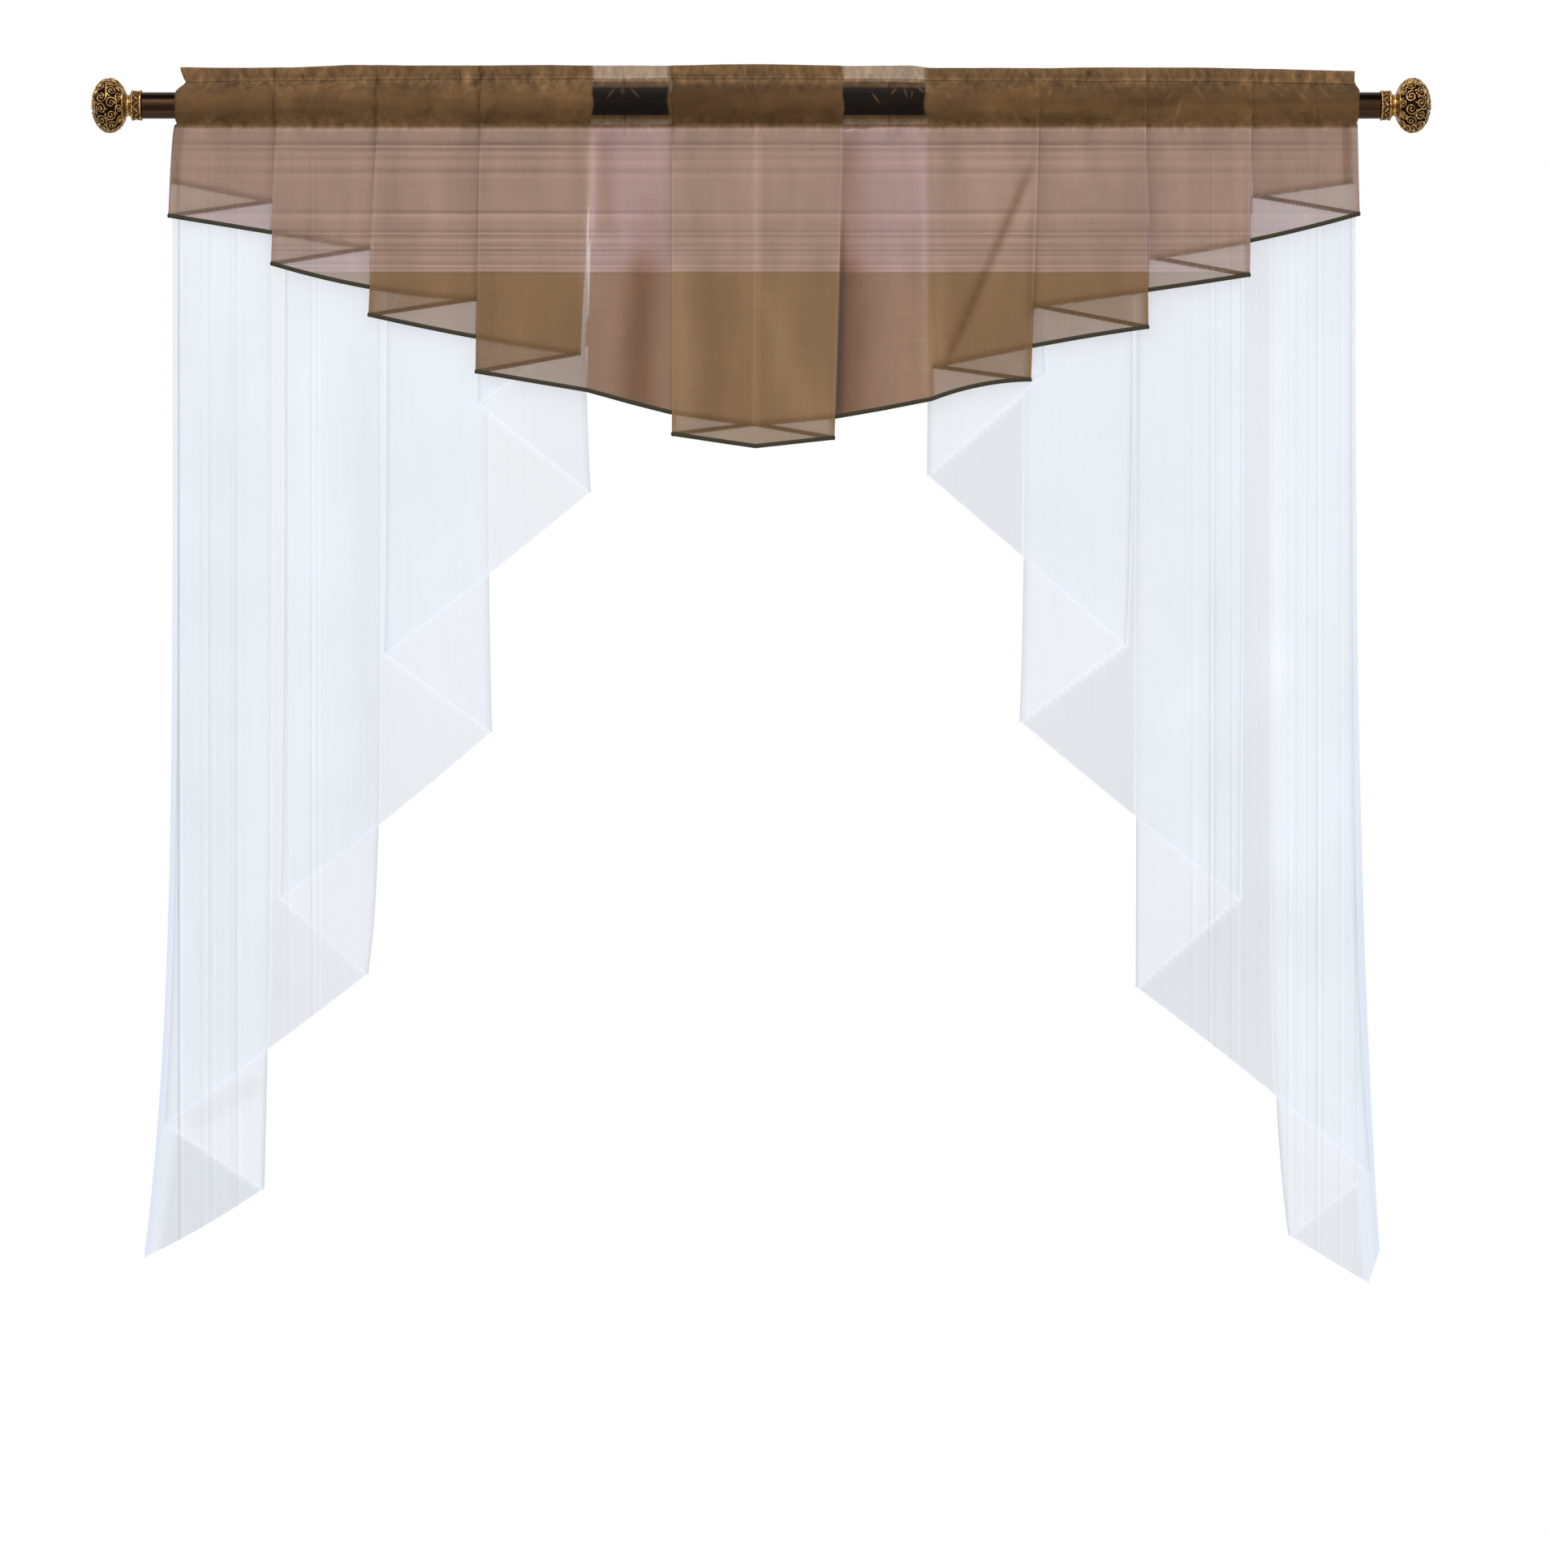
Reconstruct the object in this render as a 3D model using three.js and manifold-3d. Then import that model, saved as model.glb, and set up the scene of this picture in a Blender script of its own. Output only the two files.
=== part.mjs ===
// A cafe curtain: a pleated voile valance and two cascading tails on a rod with ball finials.
// Sizes are millimetres. X runs along the rod, to the right as seen from the front, Y points to the back
// and Z points up. The origin is the middle of the rod's axis.

import * as THREE from 'three';
import { mergeVertices } from 'three/addons/utils/BufferGeometryUtils.js';
import Module from 'manifold-3d';

const wasm = await Module();
wasm.setup();

// Rod, end caps and finials
const ROD_DIAMETER = 28;
const ROD_LENGTH = 1318;
const CAP_DIAMETER = 32;
const CAP_LENGTH = 11;
const CAP_RIM = 2.2; // width of the raised rim at each end of a cap
const CAP_GROOVE = 1; // depth of the band between the rims
const NECK_DIAMETER = 22;
const NECK_LENGTH = 5.2;
const NECK_FLANGE = 1.12; // the neck's ends, as a multiple of its middle
const NECK_BASE = 1.2; // length of the straight flange at the neck's foot
const BALL_DIAMETER = 59;
const BALL_LENGTH = 39.4;
const ROUND_SIDES = 32;
const BALL_STEPS = 14;
const FIT_GAP = 0.3; // left between pieces that touch

// Cloth
const LAYER = 1; // thickness of one layer
const LAST_LAYER = 4; // number of the layer that lies furthest back, counted from 0
const FOLD_STEPS = 4; // flats around one fold
const SPAN_STEPS = 3; // lengths between two folds

// Heading of the valance: a rod pocket sewn below a standing header
const HEADING_LEFT = -624;
const HEADING_RIGHT = 637;
const POCKET_SEAM = -23.5; // lower edge of the pocket
const POCKET_STITCH = 24; // row of stitching between the pocket and the header
const POCKET_RADIUS = ROD_DIAMETER / 2 + 1; // inside of the pocket, with room around the rod
const POCKET_WALL = 1.6;
const POCKET_FLOOR = -19.6; // lowest and highest point inside the pocket
const POCKET_ROOF = 21.5;
const POCKET_WRAP = [-48, -24, 0, 22, 44]; // degrees above level where the cloth bends round the rod
const SEAM_FRONT = -4.6;
const SEAM_BACK = 3.2;
const STITCH_HALF = 1.6; // half the header's thickness at the stitching, at its middle and at its top
const HEADER_HALF = 2;
const HEADER_EDGE = 1;
const HEADER_MIDDLE = 33;
const HEADER_INSET = 5; // the header stops this much short of the pocket's ends
const HEADING_STEP = 42; // length of one flat along the heading
const PLEAT_STEP = 1.4; // how far a pleat's outer fold stands out on the heading
const PLEAT_TAIL = 0.4; // how far its inner end does
const PUCKERS = [
  { length: 205, sway: 0.8, lift: 0.3, start: 0.4 },
  { length: 97, sway: 0.6, lift: 0.25, start: 2.1 },
];

// Height of the header's upper edge at places along the rod
const HEADER_TOP = [
  { x: HEADING_LEFT, z: 40 },
  { x: -500, z: 40.3 },
  { x: -440, z: 42.6 },
  { x: -100, z: 42.4 },
  { x: 10, z: 43.6 },
  { x: 90, z: 42.2 },
  { x: 160, z: 42 },
  { x: 178, z: 39.6 },
  { x: 480, z: 40.2 },
  { x: HEADING_RIGHT, z: 36 },
];

// Folds of the valance from left to right along the cloth. top and hem are places along the rod, low is the
// height of the hem, and before and after count the layers in front of the cloth as it reaches and leaves
// the fold. Where they are alike the cloth runs on and only its hem has a corner. flare says how late a fold
// leaves the plumb line: a higher number keeps it straight for longer. bow says how far the hem hangs below
// a straight line at the middle of the stretch that follows. Rows without a flare take the drape's.
const VALANCE_FOLDS = [
  { top: -624, hem: -627, low: -82, before: 2, after: 2, flare: 0.5 },
  { top: -518, hem: -521, low: -103, before: 4, after: 3 },
  { top: -624, hem: -631, low: -119, before: 1, after: 0, flare: 0.5 },
  { top: -410, hem: -417, low: -153, before: 4, after: 3 },
  { top: -518, hem: -521.5, low: -170, before: 1, after: 0, bow: 7 },
  { top: -300, hem: -303, low: -207, before: 4, after: 3 },
  { top: -410, hem: -418, low: -224.5, before: 1, after: 0, bow: 2.5 },
  { top: -181, hem: -193, low: -265, before: 4, after: 3 },
  { top: -300, hem: -304, low: -285, before: 1, after: 0 },
  { top: -178, hem: -185, low: -304.5, before: 2, after: 2 },
  { top: -142, hem: -142, low: -316.5, before: 1.5, after: 1.5 },
  { top: -97, hem: -97, low: -328, before: 2, after: 2 },
  { top: -8.5, hem: -10.5, low: -341, before: 2, after: 1 },
  { top: -95, hem: -95, low: -351.5, before: 1, after: 0 },
  { top: -4, hem: -6, low: -364.5, before: 0, after: 0 },
  { top: 87, hem: 78, low: -355.5, before: 0, after: 1 },
  { top: -3.5, hem: -5.5, low: -341, before: 1, after: 2 },
  { top: 89, hem: 80, low: -332.5, before: 2, after: 2 },
  { top: 130, hem: 130, low: -324, before: 1.6, after: 1.6 },
  { top: 175, hem: 181, low: -314, before: 2, after: 2, bow: -4.8 },
  { top: 296, hem: 287, low: -293.5, before: 0, after: 1 },
  { top: 177, hem: 183, low: -279, before: 3, after: 4, bow: -2.6 },
  { top: 410, hem: 412, low: -237.5, before: 0, after: 1 },
  { top: 296, hem: 290, low: -214, before: 3, after: 4, bow: 0.8 },
  { top: 522, hem: 520, low: -182, before: 0, after: 1 },
  { top: 410, hem: 415, low: -163, before: 3, after: 4, bow: 4 },
  { top: 635, hem: 637, low: -117, before: 0, after: 1 },
  { top: 522, hem: 524, low: -97, before: 3, after: 4 },
  { top: 632, hem: 630, low: -82, before: 2, after: 2 },
];

// The valance hangs plumb at its back layer, and its layers open towards the front.
const VALANCE_DRAPE = {
  top: -21,
  plumb: { y: 2.2, layer: LAST_LAYER },
  pitch: { top: 1.35, hem: 2.6, drop: 340 },
  levels: [0, 0.08, 0.25, 0.5, 0.75, 1],
  flare: 1.2,
};

// Folds of the tails, each from its leading edge near the middle outwards.
const TAIL_LEFT_FOLDS = [
  { top: -186, hem: -184, low: -233, before: 2, after: 2 },
  { top: -301, hem: -302.5, low: -317, before: 0, after: 1 },
  { top: -188, hem: -182, low: -411, before: 3, after: 4, bow: 2 },
  { top: -399, hem: -402, low: -584, before: 0, after: 1 },
  { top: -292, hem: -287.5, low: -667, before: 3, after: 4, bow: 4 },
  { top: -508, hem: -512.5, low: -844, before: 0, after: 1 },
  { top: -407, hem: -420, low: -926, before: 3, after: 4, flare: 10, bow: 1.5 },
  { top: -622, hem: -636, low: -1084, before: 0, after: 1, flare: 5 },
  { top: -523, hem: -531, low: -1155, before: 3, after: 4, bow: 3.5 },
  { top: -628, hem: -659, low: -1228, before: 2, after: 2, flare: 5 },
];
const TAIL_RIGHT_FOLDS = [
  { top: 180, hem: 177, low: -233, before: 2, after: 2 },
  { top: 300, hem: 302.5, low: -286, before: 0, after: 1 },
  { top: 178, hem: 177, low: -393, before: 3, after: 4 },
  { top: 396, hem: 389, low: -573, before: 0, after: 1 },
  { top: 282, hem: 276, low: -656, before: 3, after: 4, bow: 1.5 },
  { top: 512, hem: 510, low: -844, before: 0, after: 1 },
  { top: 401, hem: 400, low: -940, before: 3, after: 4, bow: -4 },
  { top: 630, hem: 650, low: -1138, before: 0, after: 1, flare: 5 },
  { top: 545, hem: 563.5, low: -1205, before: 3, after: 4, flare: 9 },
  { top: 622, hem: 648, low: -1255, before: 2.25, after: 2.25, flare: 5 },
  { top: 634, hem: 660, low: -1221, before: 2, after: 2, flare: 3 },
];

// The tails hang plumb at their front layer, behind the valance, and their layers open towards the back.
const TAIL_DRAPE = {
  top: -24.5,
  plumb: { y: 5.2, layer: 0 },
  pitch: { top: 1.6, hem: 3.6, drop: 1200 },
  levels: [0, 0.12, 0.3, 0.5, 0.66, 0.8, 0.9, 1],
  flare: 4,
};
const BAND_HEIGHT = 6; // strip at the top of a tail where its layers are sewn together
const BAND_TOP = -23.8;
const BAND_FRONT = 3.4;

const FRONT = -1;
const BACK = 1;
const mix = THREE.MathUtils.lerp;

// Distance between two layers at a height: the folds open as they fall.
function layerPitch(drape, z) {
  const { top, hem, drop } = drape.pitch;
  const shut = 1 - Math.min((drape.top - z) / drop, 1);
  return mix(hem, top, shut * shut);
}

// Splits a folded length of cloth into stations: some around each fold and some between two folds.
function stationsAlong(folds) {
  const rows = folds.map((fold, i) => {
    const turns = fold.before !== fold.after;
    return { ...fold, turn: turns ? Math.sign(fold.hem - folds[i - 1].hem) : 0 };
  });
  const stations = [];
  rows.forEach((row, i) => {
    const steps = row.turn ? FOLD_STEPS : 0;
    for (let k = 0; k <= steps; k++) {
      stations.push({ from: row, to: row, share: 0, angle: steps ? (Math.PI * k) / steps : Math.PI / 2 });
    }
    const next = rows[i + 1];
    for (let k = 1; next && k < SPAN_STEPS; k++) {
      stations.push({ from: row, to: next, share: k / SPAN_STEPS });
    }
  });
  return stations;
}

// Height of the hem a share of the way from one fold to the next.
function hemHeight(from, to, share) {
  const sag = 4 * (from.bow ?? 0) * share * (1 - share);
  return mix(from.low, to.low, share) - sag;
}

// Point of the cloth's middle surface at a station, at a level from 0 at the top to 1 at the hem.
function clothPoint({ from, to, share, angle }, level, drape) {
  const z = mix(drape.top, hemHeight(from, to, share), level);
  const pitch = layerPitch(drape, z);
  const along = (row) => mix(row.top, row.hem, level ** (row.flare ?? drape.flare));
  const flat = (row) => along(row) - (row.turn * pitch) / 2;
  let x = mix(flat(from), flat(to), share);
  let layer = mix(from.after, to.before, share);
  if (from === to) {
    x = along(from) + (from.turn * pitch * (Math.sin(angle) - 1)) / 2;
    layer = (from.before + from.after) / 2 + ((from.before - from.after) / 2) * Math.cos(angle);
  }
  return new THREE.Vector3(x, drape.plumb.y + (layer - drape.plumb.layer) * pitch, z);
}

// Closed geometry from a list of corner points and triangles.
function geometryFrom(points, triangles) {
  const geometry = new THREE.BufferGeometry();
  geometry.setAttribute('position', new THREE.Float32BufferAttribute(points, 3));
  geometry.setIndex(Array.from(triangles));
  return geometry;
}

// Both faces of a folded sheet, level by level: its middle surface moved by half a layer to either side.
function sheetPoints(stations, drape) {
  const points = [];
  for (const side of [1, -1]) {
    for (const level of drape.levels) {
      const middle = stations.map((station) => clothPoint(station, level, drape));
      middle.forEach((point, i) => {
        const ahead = middle[i + 1] ?? point;
        const behind = middle[i - 1] ?? point;
        const across = new THREE.Vector2(ahead.y - behind.y, behind.x - ahead.x);
        across.setLength((side * LAYER) / 2);
        points.push(point.x + across.x, point.y + across.y, point.z);
      });
    }
  }
  return points;
}

// A sheet with thickness, folded back and forth as its table of folds says, closed along its edges.
function foldedSheet(folds, drape) {
  const stations = stationsAlong(folds);
  const columns = stations.length;
  const rows = drape.levels.length;
  const at = (side, row, column) => (side * rows + row) * columns + column;
  const triangles = [];
  const quad = (a, b, c, d) => triangles.push(a, b, c, a, c, d);
  for (let r = 0; r < rows - 1; r++) {
    for (let c = 0; c < columns - 1; c++) {
      quad(at(0, r, c), at(0, r + 1, c), at(0, r + 1, c + 1), at(0, r, c + 1));
      quad(at(1, r, c), at(1, r, c + 1), at(1, r + 1, c + 1), at(1, r + 1, c));
    }
    quad(at(0, r, 0), at(1, r, 0), at(1, r + 1, 0), at(0, r + 1, 0));
    const end = columns - 1;
    quad(at(0, r, end), at(0, r + 1, end), at(1, r + 1, end), at(1, r, end));
  }
  for (let c = 0; c < columns - 1; c++) {
    quad(at(0, 0, c), at(0, 0, c + 1), at(1, 0, c + 1), at(1, 0, c));
    const hem = rows - 1;
    quad(at(0, hem, c), at(1, hem, c), at(1, hem, c + 1), at(0, hem, c + 1));
  }
  return geometryFrom(sheetPoints(stations, drape), triangles);
}

// Solid for joining and cutting, and back to a geometry.
function toSolid(geometry) {
  geometry.deleteAttribute('normal');
  geometry.deleteAttribute('uv');
  const merged = mergeVertices(geometry);
  const vertProperties = new Float32Array(merged.getAttribute('position').array);
  const triVerts = new Uint32Array(merged.index.array);
  return new wasm.Manifold(new wasm.Mesh({ numProp: 3, vertProperties, triVerts }));
}

function toGeometry(solid) {
  const { vertProperties, triVerts } = solid.getMesh();
  const geometry = geometryFrom(vertProperties, triVerts);
  geometry.computeVertexNormals();
  return geometry;
}

// Solid between closed outlines of equal length. Each outline is a ring of points.
function loft(rings) {
  const size = rings[0].length;
  const triangles = [];
  for (let r = 0; r < rings.length - 1; r++) {
    for (let k = 0; k < size; k++) {
      const a = r * size + k;
      const b = r * size + ((k + 1) % size);
      triangles.push(a, b, b + size, a, b + size, a + size);
    }
  }
  const capOf = (ring) => {
    const flat = ring.map((point) => new THREE.Vector2(point.y, point.z));
    return THREE.ShapeUtils.triangulateShape(flat, []);
  };
  const last = (rings.length - 1) * size;
  for (const [a, b, c] of capOf(rings[0])) triangles.push(c, b, a);
  for (const [a, b, c] of capOf(rings[rings.length - 1])) triangles.push(last + a, last + b, last + c);
  return geometryFrom(rings.flat().flatMap((point) => point.toArray()), triangles);
}

// The pleats as they cross the heading: the place of each outer fold and of the inner fold behind it.
// The cloth that runs back under a pleat, between its two folds, lies on an odd layer.
function pleatsAcrossHeading() {
  const pleats = [];
  for (let i = 0; i < VALANCE_FOLDS.length - 1; i++) {
    const pair = [VALANCE_FOLDS[i], VALANCE_FOLDS[i + 1]];
    if (pair[0].after % 2 !== 1 || pair[1].before % 2 !== 1) continue;
    const outer = pair.find((fold) => fold.before === 0 || fold.after === 0);
    const inner = pair.find((fold) => fold !== outer);
    pleats.push({ outer: outer.top, inner: inner.top });
  }
  return pleats;
}

const PLEATS = pleatsAcrossHeading();

// How far the layers of a pleat push the heading's face out.
function pleatStandOut(x) {
  for (const { outer, inner } of PLEATS) {
    const share = (x - outer) / (inner - outer);
    if (share >= 0 && share <= 1) return mix(PLEAT_STEP, PLEAT_TAIL, share);
  }
  return 0;
}

// Soft waves of the header: how far it leans and rises at a place along the rod.
function pucker(x) {
  let lean = 0;
  let rise = 0;
  for (const { length, sway, lift, start } of PUCKERS) {
    const phase = (2 * Math.PI * x) / length + start;
    lean += sway * Math.sin(phase);
    rise += lift * Math.cos(phase);
  }
  return { lean, rise };
}

function headerTop(x) {
  const next = HEADER_TOP.findIndex((row, i) => i > 0 && x <= row.x);
  const [before, after] = [HEADER_TOP[next - 1], HEADER_TOP[next]];
  return mix(before.z, after.z, (x - before.x) / (after.x - before.x));
}

// Corners of the cloth where it bends round the rod, from low to high, at the front or at the back.
function roundRod(radius, side) {
  return POCKET_WRAP.map((degrees) => {
    const angle = THREE.MathUtils.degToRad(degrees);
    return [side * radius * Math.cos(angle), radius * Math.sin(angle)];
  });
}

// Outline of the heading across the rod, from the front of the seam over the header to the back of the seam.
function headingRing(x) {
  const radius = POCKET_RADIUS + POCKET_WALL + pleatStandOut(x);
  const { lean, rise } = pucker(x);
  const front = [
    [SEAM_FRONT, POCKET_SEAM],
    ...roundRod(radius, FRONT),
    [-STITCH_HALF, POCKET_STITCH],
    [lean - HEADER_HALF, HEADER_MIDDLE],
    [lean - HEADER_EDGE, headerTop(x) + rise],
  ];
  const back = [
    [lean + HEADER_EDGE, headerTop(x) + rise],
    [lean + HEADER_HALF, HEADER_MIDDLE],
    [STITCH_HALF, POCKET_STITCH],
    ...roundRod(radius, BACK).reverse(),
    [SEAM_BACK, POCKET_SEAM],
  ];
  return [...front, ...back].reverse().map(([y, z]) => {
    const inset = z > POCKET_STITCH ? HEADER_INSET : 0;
    return new THREE.Vector3(THREE.MathUtils.clamp(x, HEADING_LEFT + inset, HEADING_RIGHT - inset), y, z);
  });
}

// Places along the heading that need an outline: even steps, and both sides of each pleat's outer fold.
function headingPlaces() {
  const count = Math.round((HEADING_RIGHT - HEADING_LEFT) / HEADING_STEP);
  const places = [HEADING_LEFT, HEADING_RIGHT];
  for (let i = 1; i < count; i++) places.push(mix(HEADING_LEFT, HEADING_RIGHT, i / count));
  for (const { outer } of PLEATS) places.push(outer - LAYER / 2, outer + LAYER / 2);
  const inside = places.filter((x) => x >= HEADING_LEFT && x <= HEADING_RIGHT).sort((a, b) => a - b);
  return inside.filter((x, i) => i === 0 || x - inside[i - 1] > LAYER / 2);
}

// The tunnel that the rod runs through.
function pocketTunnel() {
  const front = roundRod(POCKET_RADIUS, FRONT);
  const back = roundRod(POCKET_RADIUS, BACK).reverse();
  const outline = [[0, POCKET_FLOOR], ...front, [0, POCKET_ROOF], ...back].reverse();
  const ends = [HEADING_LEFT - HEADING_STEP, HEADING_RIGHT + HEADING_STEP];
  return loft(ends.map((x) => outline.map(([y, z]) => new THREE.Vector3(x, y, z))));
}

function valanceGeometry() {
  const heading = toSolid(loft(headingPlaces().map(headingRing))).subtract(toSolid(pocketTunnel()));
  return toGeometry(heading.add(toSolid(foldedSheet(VALANCE_FOLDS, VALANCE_DRAPE))));
}

// A tail: its folded cloth and the strip at the top where the layers are sewn together.
function tailGeometry(folds) {
  const tops = folds.map((fold) => fold.top);
  const left = Math.min(...tops) - LAYER;
  const right = Math.max(...tops) + LAYER;
  const back = TAIL_DRAPE.plumb.y + LAST_LAYER * TAIL_DRAPE.pitch.top + LAYER;
  const band = new THREE.BoxGeometry(right - left, back - BAND_FRONT, BAND_HEIGHT);
  band.translate((left + right) / 2, (BAND_FRONT + back) / 2, BAND_TOP - BAND_HEIGHT / 2);
  return toGeometry(toSolid(foldedSheet(folds, TAIL_DRAPE)).add(toSolid(band)));
}

// A turned piece along X from a half outline of [radius, distance] pairs.
function turned(outline) {
  const points = outline.map(([radius, along]) => new THREE.Vector2(radius, along));
  return new THREE.LatheGeometry(points, ROUND_SIDES).rotateZ(-Math.PI / 2);
}

function capGeometry() {
  const rim = CAP_DIAMETER / 2;
  const band = rim - CAP_GROOVE;
  return turned([
    [0, 0],
    [band, 0],
    [rim, CAP_RIM / 2],
    [band, CAP_RIM],
    [band, CAP_LENGTH - CAP_RIM],
    [rim, CAP_LENGTH - CAP_RIM / 2],
    [band, CAP_LENGTH],
    [0, CAP_LENGTH],
  ]);
}

// A neck that widens into a ball, flattened along the rod.
function finialGeometry() {
  const neck = NECK_DIAMETER / 2;
  const flange = neck * NECK_FLANGE;
  const ball = BALL_DIAMETER / 2;
  const start = Math.asin(flange / ball);
  const centre = NECK_LENGTH + (BALL_LENGTH / 2) * Math.cos(start);
  const outline = [
    [0, 0],
    [flange, 0],
    [flange, NECK_BASE],
    [neck, NECK_LENGTH / 2],
  ];
  for (let k = 0; k < BALL_STEPS; k++) {
    const angle = mix(start, Math.PI, k / BALL_STEPS);
    outline.push([ball * Math.sin(angle), centre - (BALL_LENGTH / 2) * Math.cos(angle)]);
  }
  return turned([...outline, [0, centre + BALL_LENGTH / 2]]);
}

const rodFinish = new THREE.MeshStandardMaterial({ color: 0x33251c, roughness: 0.35, metalness: 0.6 });
const goldFinish = new THREE.MeshStandardMaterial({ color: 0x9a7436, roughness: 0.4, metalness: 0.9 });
const brownVoile = new THREE.MeshStandardMaterial({ color: 0x8c7058, roughness: 0.85, metalness: 0 });
const whiteVoile = new THREE.MeshStandardMaterial({ color: 0xeaf0f6, roughness: 0.85, metalness: 0 });

function piece(name, geometry, material) {
  const mesh = new THREE.Mesh(geometry, material);
  mesh.name = name;
  return mesh;
}

// The cap and the finial of one end of the rod, turned to face outwards.
function rodEnd(side) {
  const end = new THREE.Group();
  const cap = piece(`end_cap_${side}`, capGeometry(), goldFinish);
  const finial = piece(`finial_${side}`, finialGeometry(), goldFinish);
  cap.position.x = FIT_GAP;
  finial.position.x = cap.position.x + CAP_LENGTH + FIT_GAP;
  end.add(cap, finial);
  end.position.x = side === 'left' ? -ROD_LENGTH / 2 : ROD_LENGTH / 2;
  end.rotation.z = side === 'left' ? Math.PI : 0;
  return end;
}

const curtain = new THREE.Group();
const rodGeometry = new THREE.CylinderGeometry(ROD_DIAMETER / 2, ROD_DIAMETER / 2, ROD_LENGTH, ROUND_SIDES);
curtain.add(piece('rod', rodGeometry.rotateZ(-Math.PI / 2), rodFinish));
curtain.add(rodEnd('left'), rodEnd('right'));
curtain.add(piece('valance', valanceGeometry(), brownVoile));
curtain.add(piece('tail_left', tailGeometry(TAIL_LEFT_FOLDS), whiteVoile));
curtain.add(piece('tail_right', tailGeometry(TAIL_RIGHT_FOLDS), whiteVoile));

export default curtain;
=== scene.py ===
# Looks of a cafe curtain: a pleated brown voile valance, two white voile tails, a dark rod and gold finials.
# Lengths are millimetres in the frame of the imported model, and meshes are scaled to metres as they are made.
import math
from collections import namedtuple
from functools import reduce

import bpy
import numpy as np
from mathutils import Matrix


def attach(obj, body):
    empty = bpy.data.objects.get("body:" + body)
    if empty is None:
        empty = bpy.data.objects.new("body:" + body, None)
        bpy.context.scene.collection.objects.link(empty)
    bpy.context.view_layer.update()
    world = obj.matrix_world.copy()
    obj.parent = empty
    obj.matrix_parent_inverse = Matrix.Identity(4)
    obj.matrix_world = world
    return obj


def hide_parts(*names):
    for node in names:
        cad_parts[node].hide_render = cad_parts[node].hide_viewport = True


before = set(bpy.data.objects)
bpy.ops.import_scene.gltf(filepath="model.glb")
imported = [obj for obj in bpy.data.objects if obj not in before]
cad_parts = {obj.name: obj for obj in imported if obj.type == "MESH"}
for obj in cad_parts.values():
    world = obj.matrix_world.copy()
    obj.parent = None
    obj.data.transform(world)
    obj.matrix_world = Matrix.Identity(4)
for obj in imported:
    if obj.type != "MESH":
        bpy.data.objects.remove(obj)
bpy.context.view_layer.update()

MM = 0.001
TINY = 1e-9
BODY = "root"
FRONT = -1
BACK = 1
ALONG = np.array([1.0, 0, 0])
UP = np.array([0, 0, 1.0])

# View: the picture's height and the part of the object's plane that it shows
IMAGE_HEIGHT = 1932
PIXEL = 0.8642
VIEW_X = 14.7
VIEW_Z = -722.5
VIEW_DISTANCE = 6000
VIEW_END = 100000
SENSOR = 36

# Stage: strength of the surroundings from above and below, lights and floor
WORLD_ABOVE = 0.85
WORLD_BELOW = 0.42
Light = namedtuple("Light", "name place aim size power")
LIGHTS = [
    Light("key", (-1300, -2700, 2500), (0, 0, -400), 1200, 76),
    Light("fill", (2600, -3400, 200), (0, 0, -600), 2200, 33),
]
MOST_LAYERS = 32
FLOOR_RADIUS = 2500
FLOOR_Z = -2000
FLOOR_COLOUR = (0.9, 0.9, 0.9)
FLOOR_FADE = 0.6

# Rod and end caps
ROD_RADIUS = 14
ROD_LENGTH = 1318
ROD_CHAMFER = 0.6
ROD_SIDES = 96
ROUND_SIDES = 64
FIT_GAP = 0.3
CAP_RADIUS = 15
CAP_LENGTH = 11
BAND_SUNK = 0.6
BAND_WALL = 2
BAND_EDGE = 0.5
ROPE_RADIUS = 1.15
ROPE_TWISTS = 26
ROPE_POINTS = 6
ROPE_SIDES = 10
ROPE_SWELL = 0.16
CAP_LEAVES = 14
CAP_LEAF = (3.1, 1.15, 0.95)
CAP_LEAF_SUNK = 0.25
CAP_LEAF_LEAN = 0.75
CAP_BEAD = (0.7, 0.75, 0.75)
CAP_BEAD_SUNK = 0.2
CAP_BEAD_ALONG = 2.3
CAP_BEAD_BESIDE = 3.3
BEAD_POLE = 0.25

# Finials: a neck, a smooth shell at the back of the ball, a dark core painted as the shade in its hollow and
# pierced scrollwork round it
NECK_LENGTH = 5.2
NECK_RADIUS = 11
NECK_FLANGE = 12.3
BALL_RADIUS = 29.5
BALL_LENGTH = 39.4
BALL_START = math.asin(NECK_FLANGE / BALL_RADIUS)
BALL_CENTRE = NECK_LENGTH + BALL_LENGTH / 2 * math.cos(BALL_START)
# Radius and distance from the neck's foot
NECK_OUTLINE = [
    (NECK_FLANGE - 1.5, 0), (NECK_FLANGE, 0.3), (NECK_FLANGE, 1.2),
    (NECK_RADIUS + 0.3, 1.9), (NECK_RADIUS, NECK_LENGTH / 2), (NECK_RADIUS + 0.5, NECK_LENGTH - 1.2),
]
# Radius and depth under the ball's outer end
BOSS_OUTLINE = [(4.6, 3.0), (4.2, 1.4), (2.6, 0.4), (0.4, 0)]
BOSS_SIDES = 24
SHELL_EDGE = math.radians(140)
SHELL_RINGS = 10
CORE_DEPTH = 3.6
CORE_BACK = math.pi - 0.3
CORE_FRONT = 0.02
CORE_RINGS = 28
SCROLL_WIRE = 0.86
SCROLL_BEAD = 1.25
SCROLL_TURNS = 1.7
SCROLL_TWIST = 1.3
SCROLL_INWARDS = 0.86
SCROLL_TAPER = 0.62
SCROLL_POINTS = 46
SCROLL_SIDES = 7
LEAF_LEAN = 0.6
LEAF_WIDTH = 0.5
SMALL_TURN = 0.01
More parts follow.
